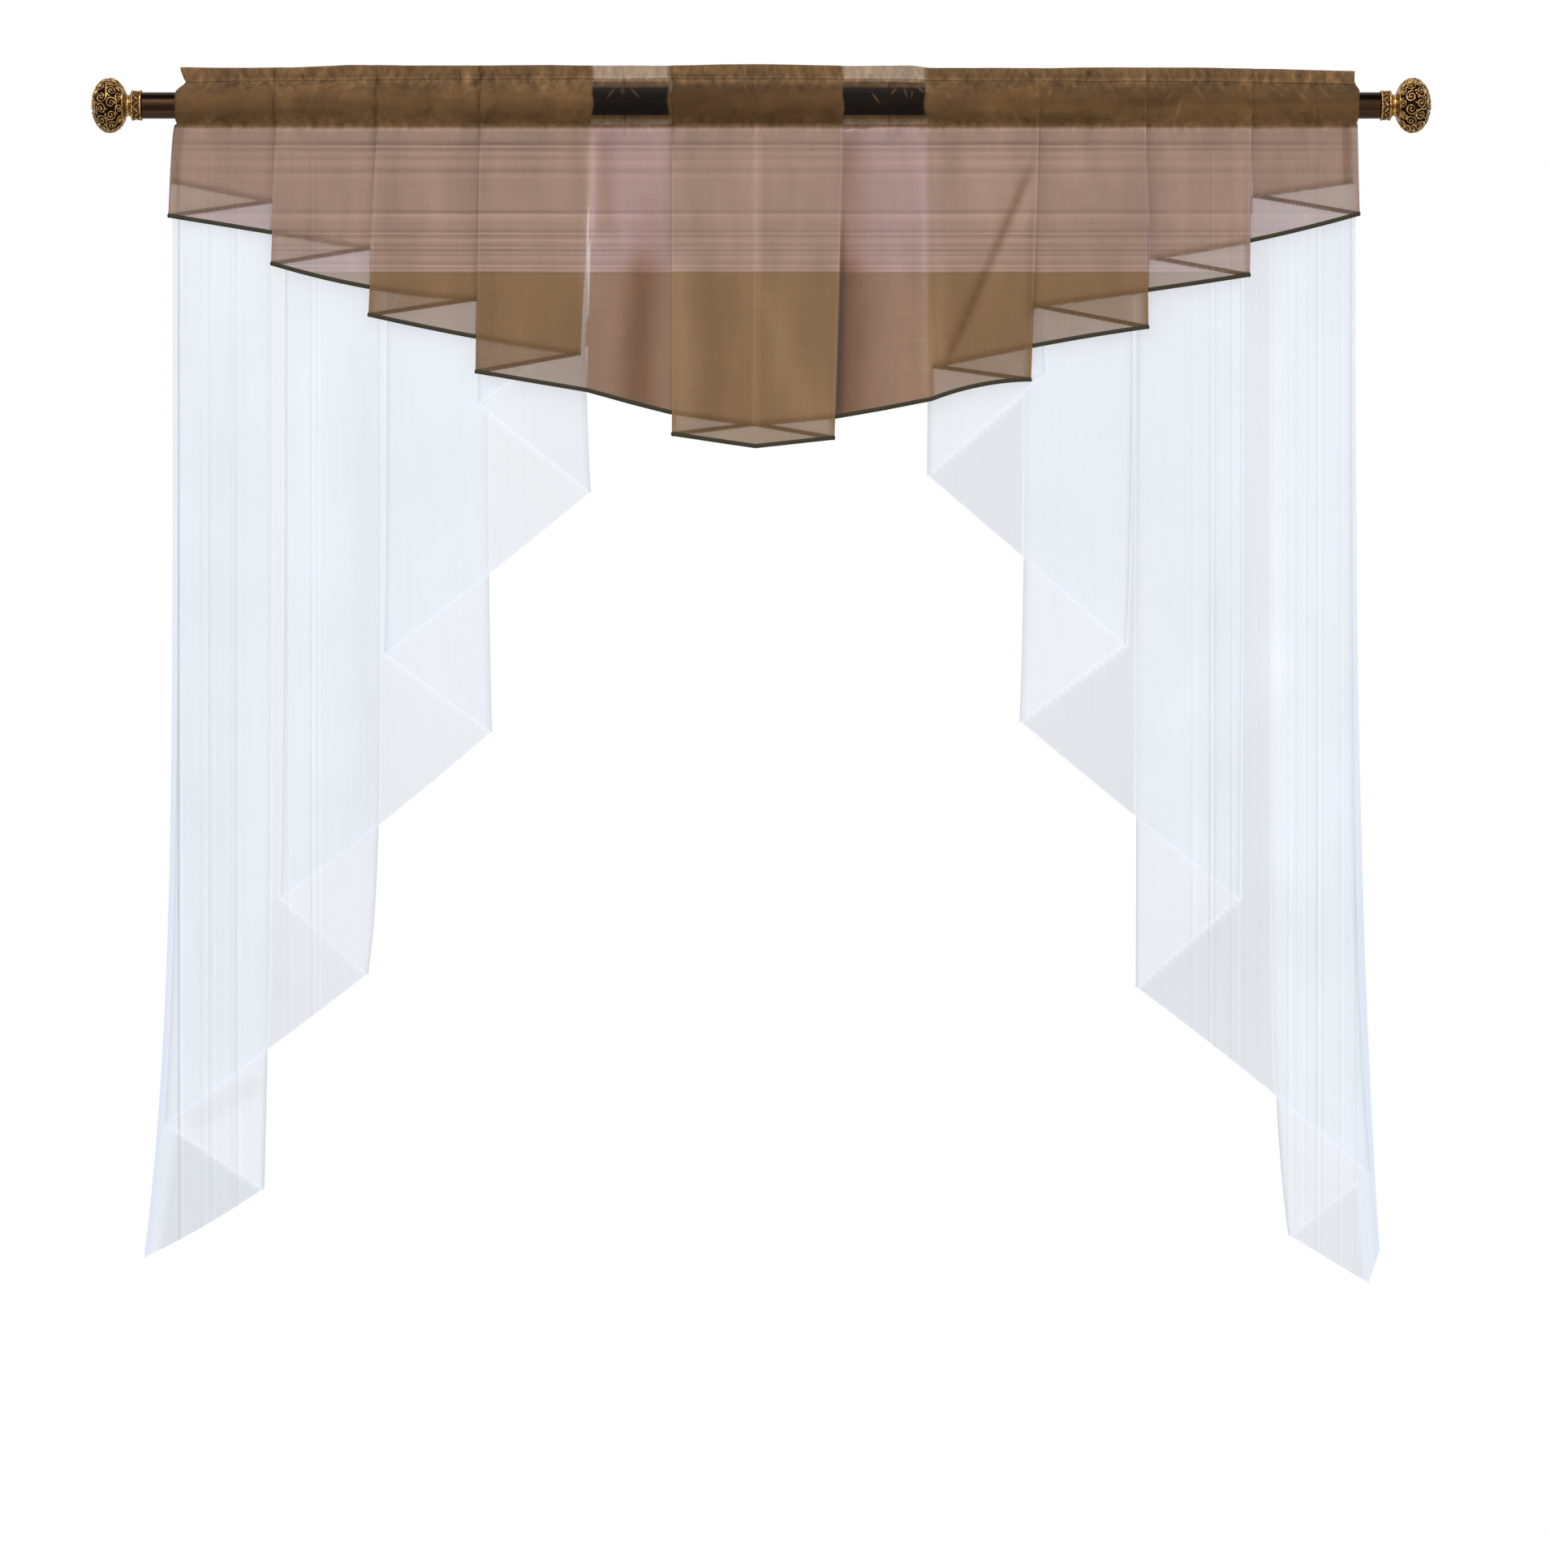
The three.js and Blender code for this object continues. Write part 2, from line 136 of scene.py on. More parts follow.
# Rows of spirals and of leaves round the ball: degrees from its outer end, count and size
SCROLL_ROWS = [(36, 8, 6.2), (70, 13, 6.6), (103, 13, 6.4), (129, 11, 5.2)]
LEAF_ROWS = [(17, 6, 2.4), (53, 13, 2.0), (87, 13, 1.8), (117, 13, 1.8), (140, 16, 1.8)]

# One row for each fold, in order along the cloth. top and hem are places along the rod, low is the height of
# the hem, before and after count the layers in front of the cloth as it reaches and leaves the fold, flare
# says how late the fold leaves the plumb line, and bow how far the hem that follows sags at its middle.
Fold = namedtuple("Fold", "top hem low before after flare bow", defaults=(None, 0))
VALANCE_FOLDS = [
    Fold(-624, -627, -82, 2, 2, flare=0.5),
    Fold(-518, -521, -103, 4, 3),
    Fold(-624, -631, -119, 1, 0, flare=0.5),
    Fold(-410, -417, -153, 4, 3),
    Fold(-518, -521.5, -170, 1, 0, bow=7),
    Fold(-300, -303, -207, 4, 3),
    Fold(-410, -418, -224.5, 1, 0, bow=2.5),
    Fold(-181, -193, -265, 4, 3),
    Fold(-300, -304, -285, 1, 0),
    Fold(-178, -185, -304.5, 2, 2),
    Fold(-142, -142, -316.5, 1.5, 1.5),
    Fold(-97, -97, -328, 2, 2),
    Fold(-6.3, -8.3, -341, 2, 1),
    Fold(-95, -95, -351.5, 1, 0),
    Fold(-4, -6, -364.5, 0, 0),
    Fold(87, 78, -355.5, 0, 1),
    Fold(-5.6, -7.6, -341, 1, 2),
    Fold(89, 80, -332.5, 2, 2),
    Fold(130, 130, -324, 1.6, 1.6),
    Fold(175, 181, -314, 2, 2, bow=-4.8),
    Fold(296, 287, -293.5, 0, 1),
    Fold(177, 183, -279, 3, 4, bow=-2.6),
    Fold(410, 412, -237.5, 0, 1),
    Fold(296, 290, -214, 3, 4, bow=0.8),
    Fold(522, 520, -182, 0, 1),
    Fold(410, 415, -163, 3, 4, bow=4),
    Fold(635, 637, -117, 0, 1),
    Fold(522, 524, -97, 3, 4),
    Fold(632, 630, -82, 2, 2),
]
TAIL_LEFT_FOLDS = [
    Fold(-186, -184, -233, 2, 2),
    Fold(-301, -302.5, -317, 0, 1),
    Fold(-188, -182, -411, 3, 4, bow=2),
    Fold(-399, -402, -584, 0, 1),
    Fold(-292, -287.5, -667, 3, 4, bow=4),
    Fold(-508, -512.5, -844, 0, 1),
    Fold(-407, -420, -926, 3, 4, flare=10, bow=1.5),
    Fold(-622, -636, -1084, 0, 1, flare=5),
    Fold(-523, -531, -1155, 3, 4, bow=3.5),
    Fold(-628, -659, -1228, 2, 2, flare=5),
]
TAIL_RIGHT_FOLDS = [
    Fold(180, 177, -233, 2, 2),
    Fold(300, 302.5, -286, 0, 1),
    Fold(178, 177, -393, 3, 4),
    Fold(396, 389, -573, 0, 1),
    Fold(282, 276, -656, 3, 4, bow=1.5),
    Fold(512, 510, -844, 0, 1),
    Fold(401, 400, -940, 3, 4, bow=-4),
    Fold(630, 650, -1138, 0, 1, flare=5),
    Fold(545, 563.5, -1205, 3, 4, flare=9),
    Fold(622, 648, -1255, 2.25, 2.25, flare=5),
    Fold(634, 660, -1221, 2, 2, flare=3),
]
LAST_LAYER = 4
FRONT_LAYERS = 2.2
FOLD_STEPS = 6
LAST_STEP = 0.6

# How a cloth hangs: plumb at one layer, its layers a pitch apart that opens over the drop
Drape = namedtuple("Drape", "top plumb_y plumb_layer pitch_top pitch_hem drop flare")
VALANCE_DRAPE = Drape(-21, 2.2, LAST_LAYER, 1.35, 2.6, 340, 1.2)
TAIL_DRAPE = Drape(-24.5, 5.2, 0, 1.6, 3.6, 1200, 4)
# Rows of points: how many near the hem, that zone's height, how many above it and their crowding upwards
Rows = namedtuple("Rows", "hem zone panel crowding")
HEM_ZONE_MOST = 0.55
# A cloth's columns are a fine step apart where it faces the front and a coarse one elsewhere
Cloth = namedtuple("Cloth", "folds drape fine coarse rows")
VALANCE = Cloth(VALANCE_FOLDS, VALANCE_DRAPE, 2.2, 9, Rows(28, 52, 22, 1.35))
TAIL_ROWS = Rows(100, 260, 50, 1)
TAILS = {
    "left": Cloth(TAIL_LEFT_FOLDS, TAIL_DRAPE, 3, 6, TAIL_ROWS),
    "right": Cloth(TAIL_RIGHT_FOLDS, TAIL_DRAPE, 3, 6, TAIL_ROWS),
}

# Share of its width by which a stretch of cloth reaches past a fold, and by which two meet where it runs on
SPAN_SLACK = 0.005
SPAN_JOIN = 1e-6

# Soft waves of a hanging cloth: their length along the rod, depth at the hem and phase
Wave = namedtuple("Wave", "length depth phase")
VALANCE_WAVES = [Wave(173, 1.6, 0.3), Wave(71, 0.8, 1.9)]
TAIL_WAVES = [Wave(236, 3.2, 0.9), Wave(118, 2.0, 2.6), Wave(57, 0.7, 4.0)]
TAIL_WAVES_TOP = -150
WAVE_GROWTH = 1.3
GATHERED_WIDTH = 0.992
GATHERED_HEIGHT = 34
GATHERED_PITCH = 0.35
GATHERED_GAP = 1.0

# Troughs (depth below zero) and ridges laid on the valance, from one end to the other
# shade is the painted shade along each crease or, below zero, its painted highlight
Crease = namedtuple("Crease", "x z to_x to_z width depth shade")
VALANCE_CREASES = [
    Crease(290, -60, 197, -274, 4.8, -1.4, 0.36),
    Crease(300, -70, 214, -268, 9, 1.2, -0.05),
    Crease(184, -30, 187, -285, 9, 0.6, -0.14),
    Crease(288, -110, 286, -235, 4, -0.5, 0.16),
    Crease(-86, -60, -87, -200, 15, 0.6, -0.10),
    Crease(-86, -170, -88, -345, 15, 0.8, -0.19),
    Crease(-42, -170, -40, -345, 17, -0.8, 0.05),
    Crease(3, -180, 44, -350, 20, 1.2, -0.25),
    Crease(64, -185, 62, -345, 14, 0.6, -0.08),
    Crease(-182, -30, -183, -150, 4, 0.4, -0.24),
    Crease(-4, -24, -6, -345, 5, 0.4, -0.10),
    Crease(340, -44, 352, -112, 9, 0.8, -0.09),
    Crease(428, -26, 436, -60, 5, 0.6, -0.09),
    Crease(585, -24, 590, -62, 5, 0.6, -0.09),
    Crease(230, -40, 236, -130, 12, 0.7, -0.05),
    Crease(-470, -60, -462, -140, 14, 0.8, -0.04),
]
# The same for the single cloth on both sides of the box pleat, and for the tails
SHEER_CREASES = [
    Crease(-179, -30, -181, -150, 4, 0.4, -0.26),
    Crease(-168, -24, -166, -140, 11, -0.8, 0.15),
    Crease(-147, -36, -145, -165, 8, 1.0, -0.10),
    Crease(-120, -95, -127, -185, 15, -0.8, 0.07),
    Crease(-124, -160, -133, -350, 19, -2.2, 0.43),
    Crease(93, -24, 92, -190, 17, -1.2, 0.19),
    Crease(86, -165, 82, -350, 27, -1.6, 0.46),
    Crease(85, -120, 81, -345, 6, -1.0, 0.32),
    Crease(174, -28, 178, -315, 9, 0.6, -0.15),
]
TAIL_CREASES = {
    "left": [
        Crease(-424, -260, -422, -780, 13, -1.4, 0.035),
        Crease(-578, -300, -584, -1050, 32, -1.8, 0.035),
        Crease(-513, -850, -516, -960, 13, -1.2, 0.06),
        Crease(-532, -1040, -612, -1088, 13, -0.8, 0.07),
        Crease(-480, -250, -482, -800, 20, 1.4, -0.02),
    ],
    "right": [
        Crease(401, -230, 396, -575, 4.5, -1.0, 0.09),
        Crease(486, -480, 488, -940, 11, -1.2, 0.035),
        Crease(528, -200, 540, -640, 22, 1.2, -0.09),
        Crease(540, -560, 552, -830, 22, 1.2, -0.04),
        Crease(595, -250, 600, -900, 24, 1.6, -0.01),
    ],
}
CREASE_FADE = (-0.08, 0.15)
# How much the painted shade of creases warms the colour: fully in the single cloth and by a share in the
# pleats
CREASE_WARMTH = (0, 0.44, 1.05)
PLEAT_WARMTH = 0.3
# Painted light: how much of its tone a tail keeps at depths below the rod, less high up and more low down
# against the lamps' falloff
TAIL_PAINTED_LIGHT = [(250, 0.97), (700, 1.0), (1100, 1.025)]

# Heading: the cloth goes up in front of the rod, over the header and down behind the rod
STITCH_TOP = 24
STITCH_LOW = -21.6
WRAP_ANGLES = (-48, -24, 0, 22, 44)
WRAP_RADIUS = 15.1
HEADING_PITCH = 0.45
STITCH_HALF = 0.7
HEADER_HALF = 1.0
HEADER_PITCH = 0.25
HEADER_MIDDLE = 33
HEADER_SHOULDER = 2.2
SHOULDER_HALF = 0.7
TOP_PITCH = 0.1
SEAM_BACK = 2.9
SEAM_END = -22.6
PROFILE_STEPS = (4, 2, 2, 2, 2, 4, 3, 3, 2, 2, 3, 3, 4, 2, 2, 2, 2, 3)
FRONT_POINTS = 9
STITCH_POINTS = (6, 12)
HEADER_WAVES = [Wave(205, 0.8, 0.4), Wave(97, 0.4, 2.1), Wave(43, 0.15, 0.8)]
HEADER_RISE = 0.3
# Height of the header's top at places along the rod
HEADER_TOP = [
    (-624, 40), (-500, 40.3), (-440, 42.6), (-100, 42.4), (10, 43.6),
    (90, 42.2), (160, 42), (178, 39.6), (480, 40.2), (637, 36),
]
# How far the sewing draws the heading's two ends in at each height
END_PULL_HEIGHTS = (-22, -12, 2, 16, 24, 28, 34, 39, 43)
END_PULL_LEFT = (3, 0.5, 0, 3, 11.4, 8.5, 6.6, 6, 6.5)
END_PULL_RIGHT = (1.5, 0.3, -1, -0.5, 3.2, 2.4, 2.2, 2.2, 2.6)
END_PULL_REACH = 55
# How far the upper seam lies above its level at places along the rod
SEAM_RISE = [
    (-640, 0.6), (-500, 2), (-330, 4), (-100, 4.4), (120, 4.2), (200, 2), (500, 1), (600, -1), (640, -2.4),
]
SEAM_SPAN = 20
# How far, over what height and over what run along the rod the pleats' folds waver in the heading
WAVER = 0.9
WAVER_HEIGHT = 31
WAVER_RUN = 37
WAVER_FADE = 8

# Puckers that the rows of sewing draw into the heading: ranges that each pucker's sizes are drawn from
PUCKER_SEED = 7
Pucker = namedtuple("Pucker", "row spacing width reach slant rise")
PUCKERS = [
    Pucker(STITCH_TOP, (3.5, 13), (1.7, 3.2), (3, 10), 0.9, (0.2, 1.3)),
    Pucker(STITCH_TOP, (30, 75), (2.4, 4.5), (10, 20), 0.8, (0.5, 1.3)),
    Pucker(STITCH_LOW, (4, 15), (1.7, 3.2), (2.5, 8), 0.6, (0.2, 1.0)),
    Pucker(STITCH_LOW, (22, 60), (5, 10), (10, 22), 1.3, (-0.9, 1.2)),
]
# Painted light and shade on the puckers and the lift at which it is neither, the share of the puckers that
# reaches the skirt, and heights over which their painted light fades out downwards there
PUCKER_PAINTED_LIGHT = 0.3
PUCKER_LEVEL = 0.45
PUCKER_SKIRT = 0.6
PUCKER_FADE = (-60, -30)

# Parts of the valance by the numbers of their folds, and places of the single cloth beside the box pleat
SHEER_SPANS = (9, 10, 17, 18)
SHEER_LEFT = -186
SHEER_RIGHT = 184
BOX_LEFT = 13
BOX_MIDDLE = 14
BOX_RIGHT = 15
BOX_BACK = 16
SIDE_LEFT = 2
SIDE_RIGHT = -3
GAP_ACROSS = (-190, -183)
GAP_HEIGHTS = (-228, -115)

# Share of the light that one layer of voile holds back at places along the rod, alone or as one of two
SINGLE_COVER = [(-570, 0.73), (-240, 0.71), (240, 0.79), (420, 0.70), (580, 0.635)]
DOUBLE_COVER = [(-570, 0.67), (-430, 0.66), (-300, 0.74), (240, 0.62), (370, 0.61), (470, 0.50), (580, 0.52)]
MANY_COVER = 0.81
THIN_REACH = 2.4
SLIT_WIDTH = 4
SLIT_COVER = 0.95
BOX_TIP_COVER = 0.88
SHEER_COVER = 0.97
GAP_COVER = 0.6
WHITE_COVER = 0.62
WHITE_HEM_COVER = 0.9
OUTER_HEM_SHARE = 0.4
HEM_EDGE = 0.5
FOLD_BLUR = 3.5
HEM_BLUR = 6

# Brightness of the voile: painted highlight and shade on folds and painted shadows beside them, over hems and
# in the heading
SHADE_LIMITS = (0.02, 2)
BOX_SHADE = 0.65
SHEER_SHADES = (1.13, 1.05)
RIGHT_POCKET_SHADE = 0.87
RIGHT_POCKET_START = (170, 230)
RIGHT_POCKET_LOW = (-8, 2)
TONE_EDGE = -177.5
FOLD_SHADE_HEADING = (0.7, 1.3)
FOLD_SHADE_TURN = (-200, 200)
FOLD_SHADE_SKIRT = 1.12
FOLD_SHADE_RISE = (-62, -22)
# Strength of a fold's shadow and its reach
FOLD_SHADOW_HEADING = (0.3, 1.8)
FOLD_SHADOW_SKIRT = (0.14, 6)
FOLD_SHADOW_START = -0.3
HIDDEN_HEM_SHADE = 0.27
HIDDEN_HEM_WIDTH = 3.5
SIDE_HEM_SHADE = 0.28
SIDE_HEM = 10
SIDE_HEM_BLUR = 2
SIDE_HEM_INSET = 6
SIDE_HEM_LOW = (-88, -82)
SIDE_HEM_LEFT = 0.6
SIDE_LINE = 1.6
SIDE_LINE_LOW = (-112, -106)
SIDE_LINE_LEFT = 0.8
# Single cloth of the heading: height, shade and cover, the shade holding painted shade above the rod and a
# painted highlight on the upper seam's ridge
SHEER_HEADING = [
    (-22, 1.5, 0.78), (-18.5, 1.3, 0.80), (-15, 0.85, 0.84), (-12, 0.75, 0.88), (-11, 1.0, 0.93),
    (18, 1.0, 0.93), (20.5, 0.46, 0.92), (24.2, 0.48, 0.92), (27, 1.85, 0.73), (30, 1.70, 0.66),
    (45, 1.70, 0.66),
]

# How bright a tail is where it hangs as a single layer: depth below the rod and share from dull to bright
SINGLE_BRIGHT = {
    "left": ((300, 0.75), (393, 0.72), (670, 0.62), (910, 0.47), (1140, 0.0)),
    "right": ((250, 0.25), (640, 0.23), (924, 0.08), (1190, 0.32)),
}
FOLD_DULL = 0.3
TAIL_LEADING_HEM = 6
TAIL_OUTER_HEM = 20
TAIL_RIM = 7
TAIL_RIM_BLUR = 3
TAIL_RIM_DEPTHS = (200, 950)
TAIL_RIM_LEAST = 0.5

# Sewing
OVERLOCK_WIDE = 1.0
OVERLOCK_HIGH = 2.3
OVERLOCK_STEP = 0.8
OVERLOCK_PITCH = 3.1
OVERLOCK_RIDGE = 0.2
OVERLOCK_SIDES = 8
TAIL_HEM_WIDE = 0.5
TAIL_HEM_HIGH = 0.9
TAIL_HEM_STEP = 3
TAIL_HEM_SIDES = 6
TAIL_HEM_COVER = 0.15
STITCH_PITCH = 3.3
STITCH_LENGTH = 2.5
STITCH_THICK = 0.55
STITCH_INSET = 4
STITCH_ROUND = (5, 4)

# Colours, linear
VOILE_TONES = [
    (-370, (0.214, 0.126, 0.062)),
    (-179, (0.218, 0.130, 0.065)),
    (-176.5, (0.311, 0.207, 0.159)),
    (-60, (0.311, 0.207, 0.160)),
    (-25, (0.292, 0.195, 0.150)),
    (-22.5, (0.180, 0.098, 0.039)),
    (-12, (0.160, 0.086, 0.034)),
    (4, (0.134, 0.071, 0.028)),
    (22, (0.147, 0.081, 0.034)),
    (25, (0.166, 0.094, 0.042)),
    (45, (0.173, 0.098, 0.044)),
]
WHITE_DULL = (0.52, 0.571, 0.644)
WHITE_BRIGHT = (0.755, 0.782, 0.825)
WHITE_EDGE = (0.61, 0.69, 0.83)
OVERLOCK_DARK = (0.014, 0.012, 0.005)
OVERLOCK_LIGHT = (0.055, 0.046, 0.022)
THREAD_BROWN = (0.035, 0.020, 0.009)
THREAD_WHITE = (0.82, 0.86, 0.94)
ROD_COLOUR = (0.042, 0.022, 0.0125)
GOLD_COLOUR = (0.717, 0.459, 0.168)
GOLD_WORN = (0.213, 0.106, 0.04)
HOLLOW_SHADE_COLOUR = (0.013, 0.005, 0.005)
BAND_COLOUR = (0.06, 0.03, 0.018)
# How dark the pocket's single cloth is painted over the rod and in the painted shade above it
ROD_SHADE = 0.04

# Painted reflections round the rod, bands lighter and darker than its finish: height and strength of its
# colour
ROD_PAINTED_REFLECTIONS = [
    (-14, 0.6), (-10.5, 0.6), (-7.5, 0.9), (-5.5, 0.55), (0, 0.6), (2.5, 0.6), (4.2, 0.375), (6, 0.05),
    (9.6, 0.025), (11, 0.35), (14, 0.65),
]
# Heights between which the single cloth of the pocket is painted dark, for the rod seen through it and painted
# shade above the rod, and its strength there
ROD_AND_SHADE_BAND = [(-12.2, 0), (-11, 1), (17, 1), (20.5, 0)]

# Thin puckers in front of the rod, and folds and puckers of the heading, each from one end to the other.
# tone is how much painted highlight or, below zero, painted shade the cloth gets there; along the thin puckers
# it is how much less of the dark painted over the rod shows.
Streak = namedtuple("Streak", "x z to_x to_z width tone")
FANS = [Streak(*row) for row in [
    (-154, 20, -165, 4, 1.5, 0.64), (-142, 21, -127, 4, 1.7, 0.64), (-148, 20, -147, 9, 2.8, 0.48),
    (116, 15, 127, -2, 1.5, 0.72), (146, 20, 137, 9, 1.8, 0.72), (151, 21, 156, 4, 1.5, 0.72),
    (161, 17, 159, 4, 1.4, 0.56), (164, 21, 175, 11, 1.7, 0.75),
]]
HEADING_STREAKS = [Streak(*row) for row in [
    (-558, 24, -556, 35, 1.7, -0.39), (-552, 24, -550, 35, 1.6, -0.34), (-546, 34, -539, 24, 1.7, -0.34),
    (-570, 20.5, -550, 24, 1.7, -0.46), (-536, 20, -522, 26, 1.9, -0.5), (-514, 18.5, -502, 24, 1.9, -0.31),
    (-497, 21, -482, 24, 1.7, -0.39), (-490, 35, -486, 27, 1.7, -0.34), (-476, 20, -460, 28.5, 2, -0.5),
    (-459, 22, -450, 29, 1.7, -0.39), (-436, 23, -428, 30, 1.7, -0.31), (-384, 18, -370, 29, 2, -0.37),
    (-369, 19, -363, 28.5, 1.7, -0.37), (-358, -14, -346, 2, 5.1, -0.31), (-331, 24, -323, 32, 1.7, -0.34),
    (-321, 41, -320.5, 17, 2, -0.59), (-307, 18, -301, 29, 1.9, -0.5), (-296, 42, -300, 17, 1.9, -0.54),
    (-291, -14, -278, 2, 5.1, -0.23), (-174, 42, -174, 26, 5.1, 0.23), (-148, 43, -145, 17, 2.6, -0.59),
    (-145, -7, -145, -23, 2.2, -0.62), (-167, -7, -167, -18, 2, -0.46), (-170, -21, -155, -18.5, 1.6, 0.62),
    (-158, -20.5, -96, -22.5, 1.7, 0.4), (-64, 40, -59, 24, 1.7, -0.34), (-35, 20.5, -10, 25.5, 1.9, -0.31),
    (-13.5, 45, -15.5, 27, 2, -0.4), (17, 44, 19, 29, 2, -0.31), (84, -28.5, 108, -24, 1.9, 0.56),
    (104, -24.3, 174, -23.5, 1.7, 0.43), (99, -25.2, 118, -23, 1.4, -0.53), (136, 27, 136, 14, 1.9, -0.56),
    (136, -8, 136, -23, 2.2, -0.62), (164, 42, 171, 31, 2.6, -0.46), (151, 23, 173, 20.5, 2, -0.46),
    (152, 25, 170, 25, 1.9, 0.4), (196, 16, 202, 3, 3.2, 0.34), (229, 40, 228, 26, 2.6, 0.34),
    (277, 39, 287, 27, 2.3, 0.4), (310, 24, 304, 2, 2.8, 0.46), (311, 21.5, 325, 21.5, 3.5, -0.37),
    (332, 26, 334, 14, 2.5, 0.46), (341, 40, 346, 26, 2.8, 0.62), (345, 40, 352, 29, 2.8, -0.53),
    (442, 19, 426, -2, 2.9, 0.53), (449, 9, 438, -20, 2.9, 0.46), (459, 23, 473, 1, 2.6, 0.43),
    (472, 39, 482, 26, 2.6, -0.5), (468, 38, 477, 27, 2.5, 0.28), (498, 37, 498, 25, 2.2, 0.37),
    (507, 37, 508, 25, 2.3, 0.31), (526, 38, 530, 25, 2.6, 0.62), (535, 38, 535, 26, 2.2, -0.4),
    (549, 37, 550, 24, 2.2, 0.43), (566, 35, 567, 23, 2.2, 0.4), (575, 35, 576, 24, 2, -0.31),
    (584, 36, 585, 23, 2.2, 0.4), (602, 35, 604, 22, 2.5, 0.5), (540, 22, 559, 4, 2.6, 0.56),
    (570, 16, 582, -2, 2.6, 0.53), (593, 22, 605, 3, 2.6, 0.53), (588, 1, 588, -21, 2.3, 0.46),
]]

# How strongly shade acts on red, green and blue, and the cast of single cloth beside the box and at hems
TINT_POWERS = (1, 1.12, 1.25)
SHEER_HUE = (1.0, 0.94, 1.12)
SINGLE_HUE = (1.0, 0.96, 1.10)
SINGLE_HUE_LOW = (1.0, 0.93, 0.93)

# Groups of slub threads across the valance: heights where the tone turns and its change there
VALANCE_SLUBS = [
    [
        (-80, 0), (-75, 0.08), (-70, -0.12), (-66, 0), (-61, 0.1), (-56, -0.05), (-51, 0.1), (-46.7, -0.17),
        (-43.6, 0.16), (-41.5, -0.28), (-36, 0), (-30, 0), (-26.8, 0.1), (-24, 0),
    ],
    [
        (-181, 0), (-178.5, -0.12), (-175.9, 0.2), (-173.7, -0.1), (-171.5, 0.22), (-169.4, -0.08),
        (-166, 0), (-161.6, 0.1), (-159.4, -0.1), (-157.3, 0.1), (-154.7, -0.2), (-152, 0.1),
        (-150, -0.1), (-144, 0.12), (-139, -0.16), (-137, 0.16), (-134.8, -0.16), (-131, 0), (-126, 0),
        (-121, 0.07), (-117, 0.18), (-114, -0.18), (-110, 0),
    ],
]
# Groups of fine slub threads down the tails: places along the rod and how much lighter or darker each is
TAIL_SLUBS = [
    [
        (-621.4, -0.26), (-617.5, 0.06), (-598, -0.04), (-592, 0.05), (-588.5, -0.09), (-583, 0.045),
        (-571, 0.04), (-564.7, -0.04), (-560.4, -0.1), (-556, 0.045),
    ],
    [(-505.6, -0.045), (-502, 0.03), (-480.5, -0.1), (-477, 0.06), (-473.6, -0.04), (-470.6, 0.06)],
    [
        (458.5, -0.045), (463.6, 0.05), (478.3, -0.12), (481, 0.07), (484, -0.08), (491, 0.03),
        (500.8, -0.11), (510, 0.07), (515.5, -0.05), (530.6, -0.045),
    ],
    [(546, 0.03), (561.7, -0.045), (565, 0.05), (570.8, -0.045), (579, 0.045), (581.6, -0.05)],
    [(592.4, -0.11), (595.4, 0.05), (598.9, -0.05), (616.6, -0.05), (619.6, 0.045), (633.5, -0.06)],
]
TAIL_SLUB_WIDTH = 1.3
PLAIN = 0.5
SLUB_STRENGTH = (1.0, 2.1)
SEAM_STRENGTH = (0.55, 1.15)
TAIL_SLUB_STRENGTH = (1.0, 2.2)
# How much of the valance's slubs shows along the rod, of the tails' threads through it at each height and of
# those threads down the tails
SLUB_FADE = [
    (-640, 0.3), (-460, 0.75), (-330, 1), (-190, 0.85), (-90, 0.6), (90, 0.65), (180, 0.8), (300, 0.8),
    (450, 0.6), (640, 0.35),
]
THROUGH_FADE = [(-370, 0.5), (-60, 0.5), (-44, 0), (45, 0)]
TAIL_FADE = [(-1260, 1), (-800, 0.85), (-300, 0.5)]

# Seams of the heading: heights where the tone turns and its change, painted shade in their grooves and painted
# highlight beside them
LOWER_SEAM = [(-28, 0), (-26, 0.1), (-24.4, 0), (-22.6, -0.2), (-20.6, 0.08), (-17, 0)]
UPPER_SEAM = [(18, 0), (22.4, -0.1), (24.2, -0.42), (25.4, 0.14), (28, 0)]
SEAM_WANDER = 1.2
# How strongly the gathers and the painted clouds of soft shade on the doubled cloth show at each height
GATHER_STRENGTH = [
    (-36, 0), (-27, 0.25), (-22, 0.8), (-14, 0.4), (-4, 0.15), (6, 0.15), (15, 0.5), (23, 1), (27, 1),
    (34, 0.9), (45, 0.8),
]
CLOUD_STRENGTH = [(-23, 0), (-20, 1), (20, 1), (25, 0.5), (45, 0.5)]
# Strength of the painted light and shade on the gathers, which also bump the cloth, and of the painted clouds
# of soft shade
GATHER_PAINTED_LIGHT = 0.32
GATHER_LEANS = (-0.45, 0.35)
GATHER_RANGE = (0.75, 1.25)
CLOUD_PAINTED_SHADE = 0.28

# Noise: patches to the metre, detail, and how closely they are packed along X, Y and Z
Grain = namedtuple("Grain", "scale detail stretch", defaults=((1, 1, 1),))
NOISE_RANGE = (0.3, 0.7)
NOISE_ROUGHNESS = 0.55
LEVEL_GRAIN = Grain(12, 2, (1, 1, 20))
PLUMB_GRAIN = Grain(12, 2, (20, 1, 0.4))
SEAM_GRAIN = Grain(16, 2, (1, 0, 0))
GATHER_GRAIN = Grain(170, 2, (1, 1, 0.3))
CLOUD_GRAIN = Grain(26, 3, (0.45, 1, 1.5))
OVERLOCK_FIBRE = Grain(1600, 2)
THREAD_FUZZ = Grain(1200, 2)
THREAD_FIBRE = Grain(1800, 2)
ROD_GRAIN = Grain(30, 4, (0.15, 14, 14))
GOLD_BLOTCH = Grain(220, 4)
GOLD_PITS = Grain(700, 3)
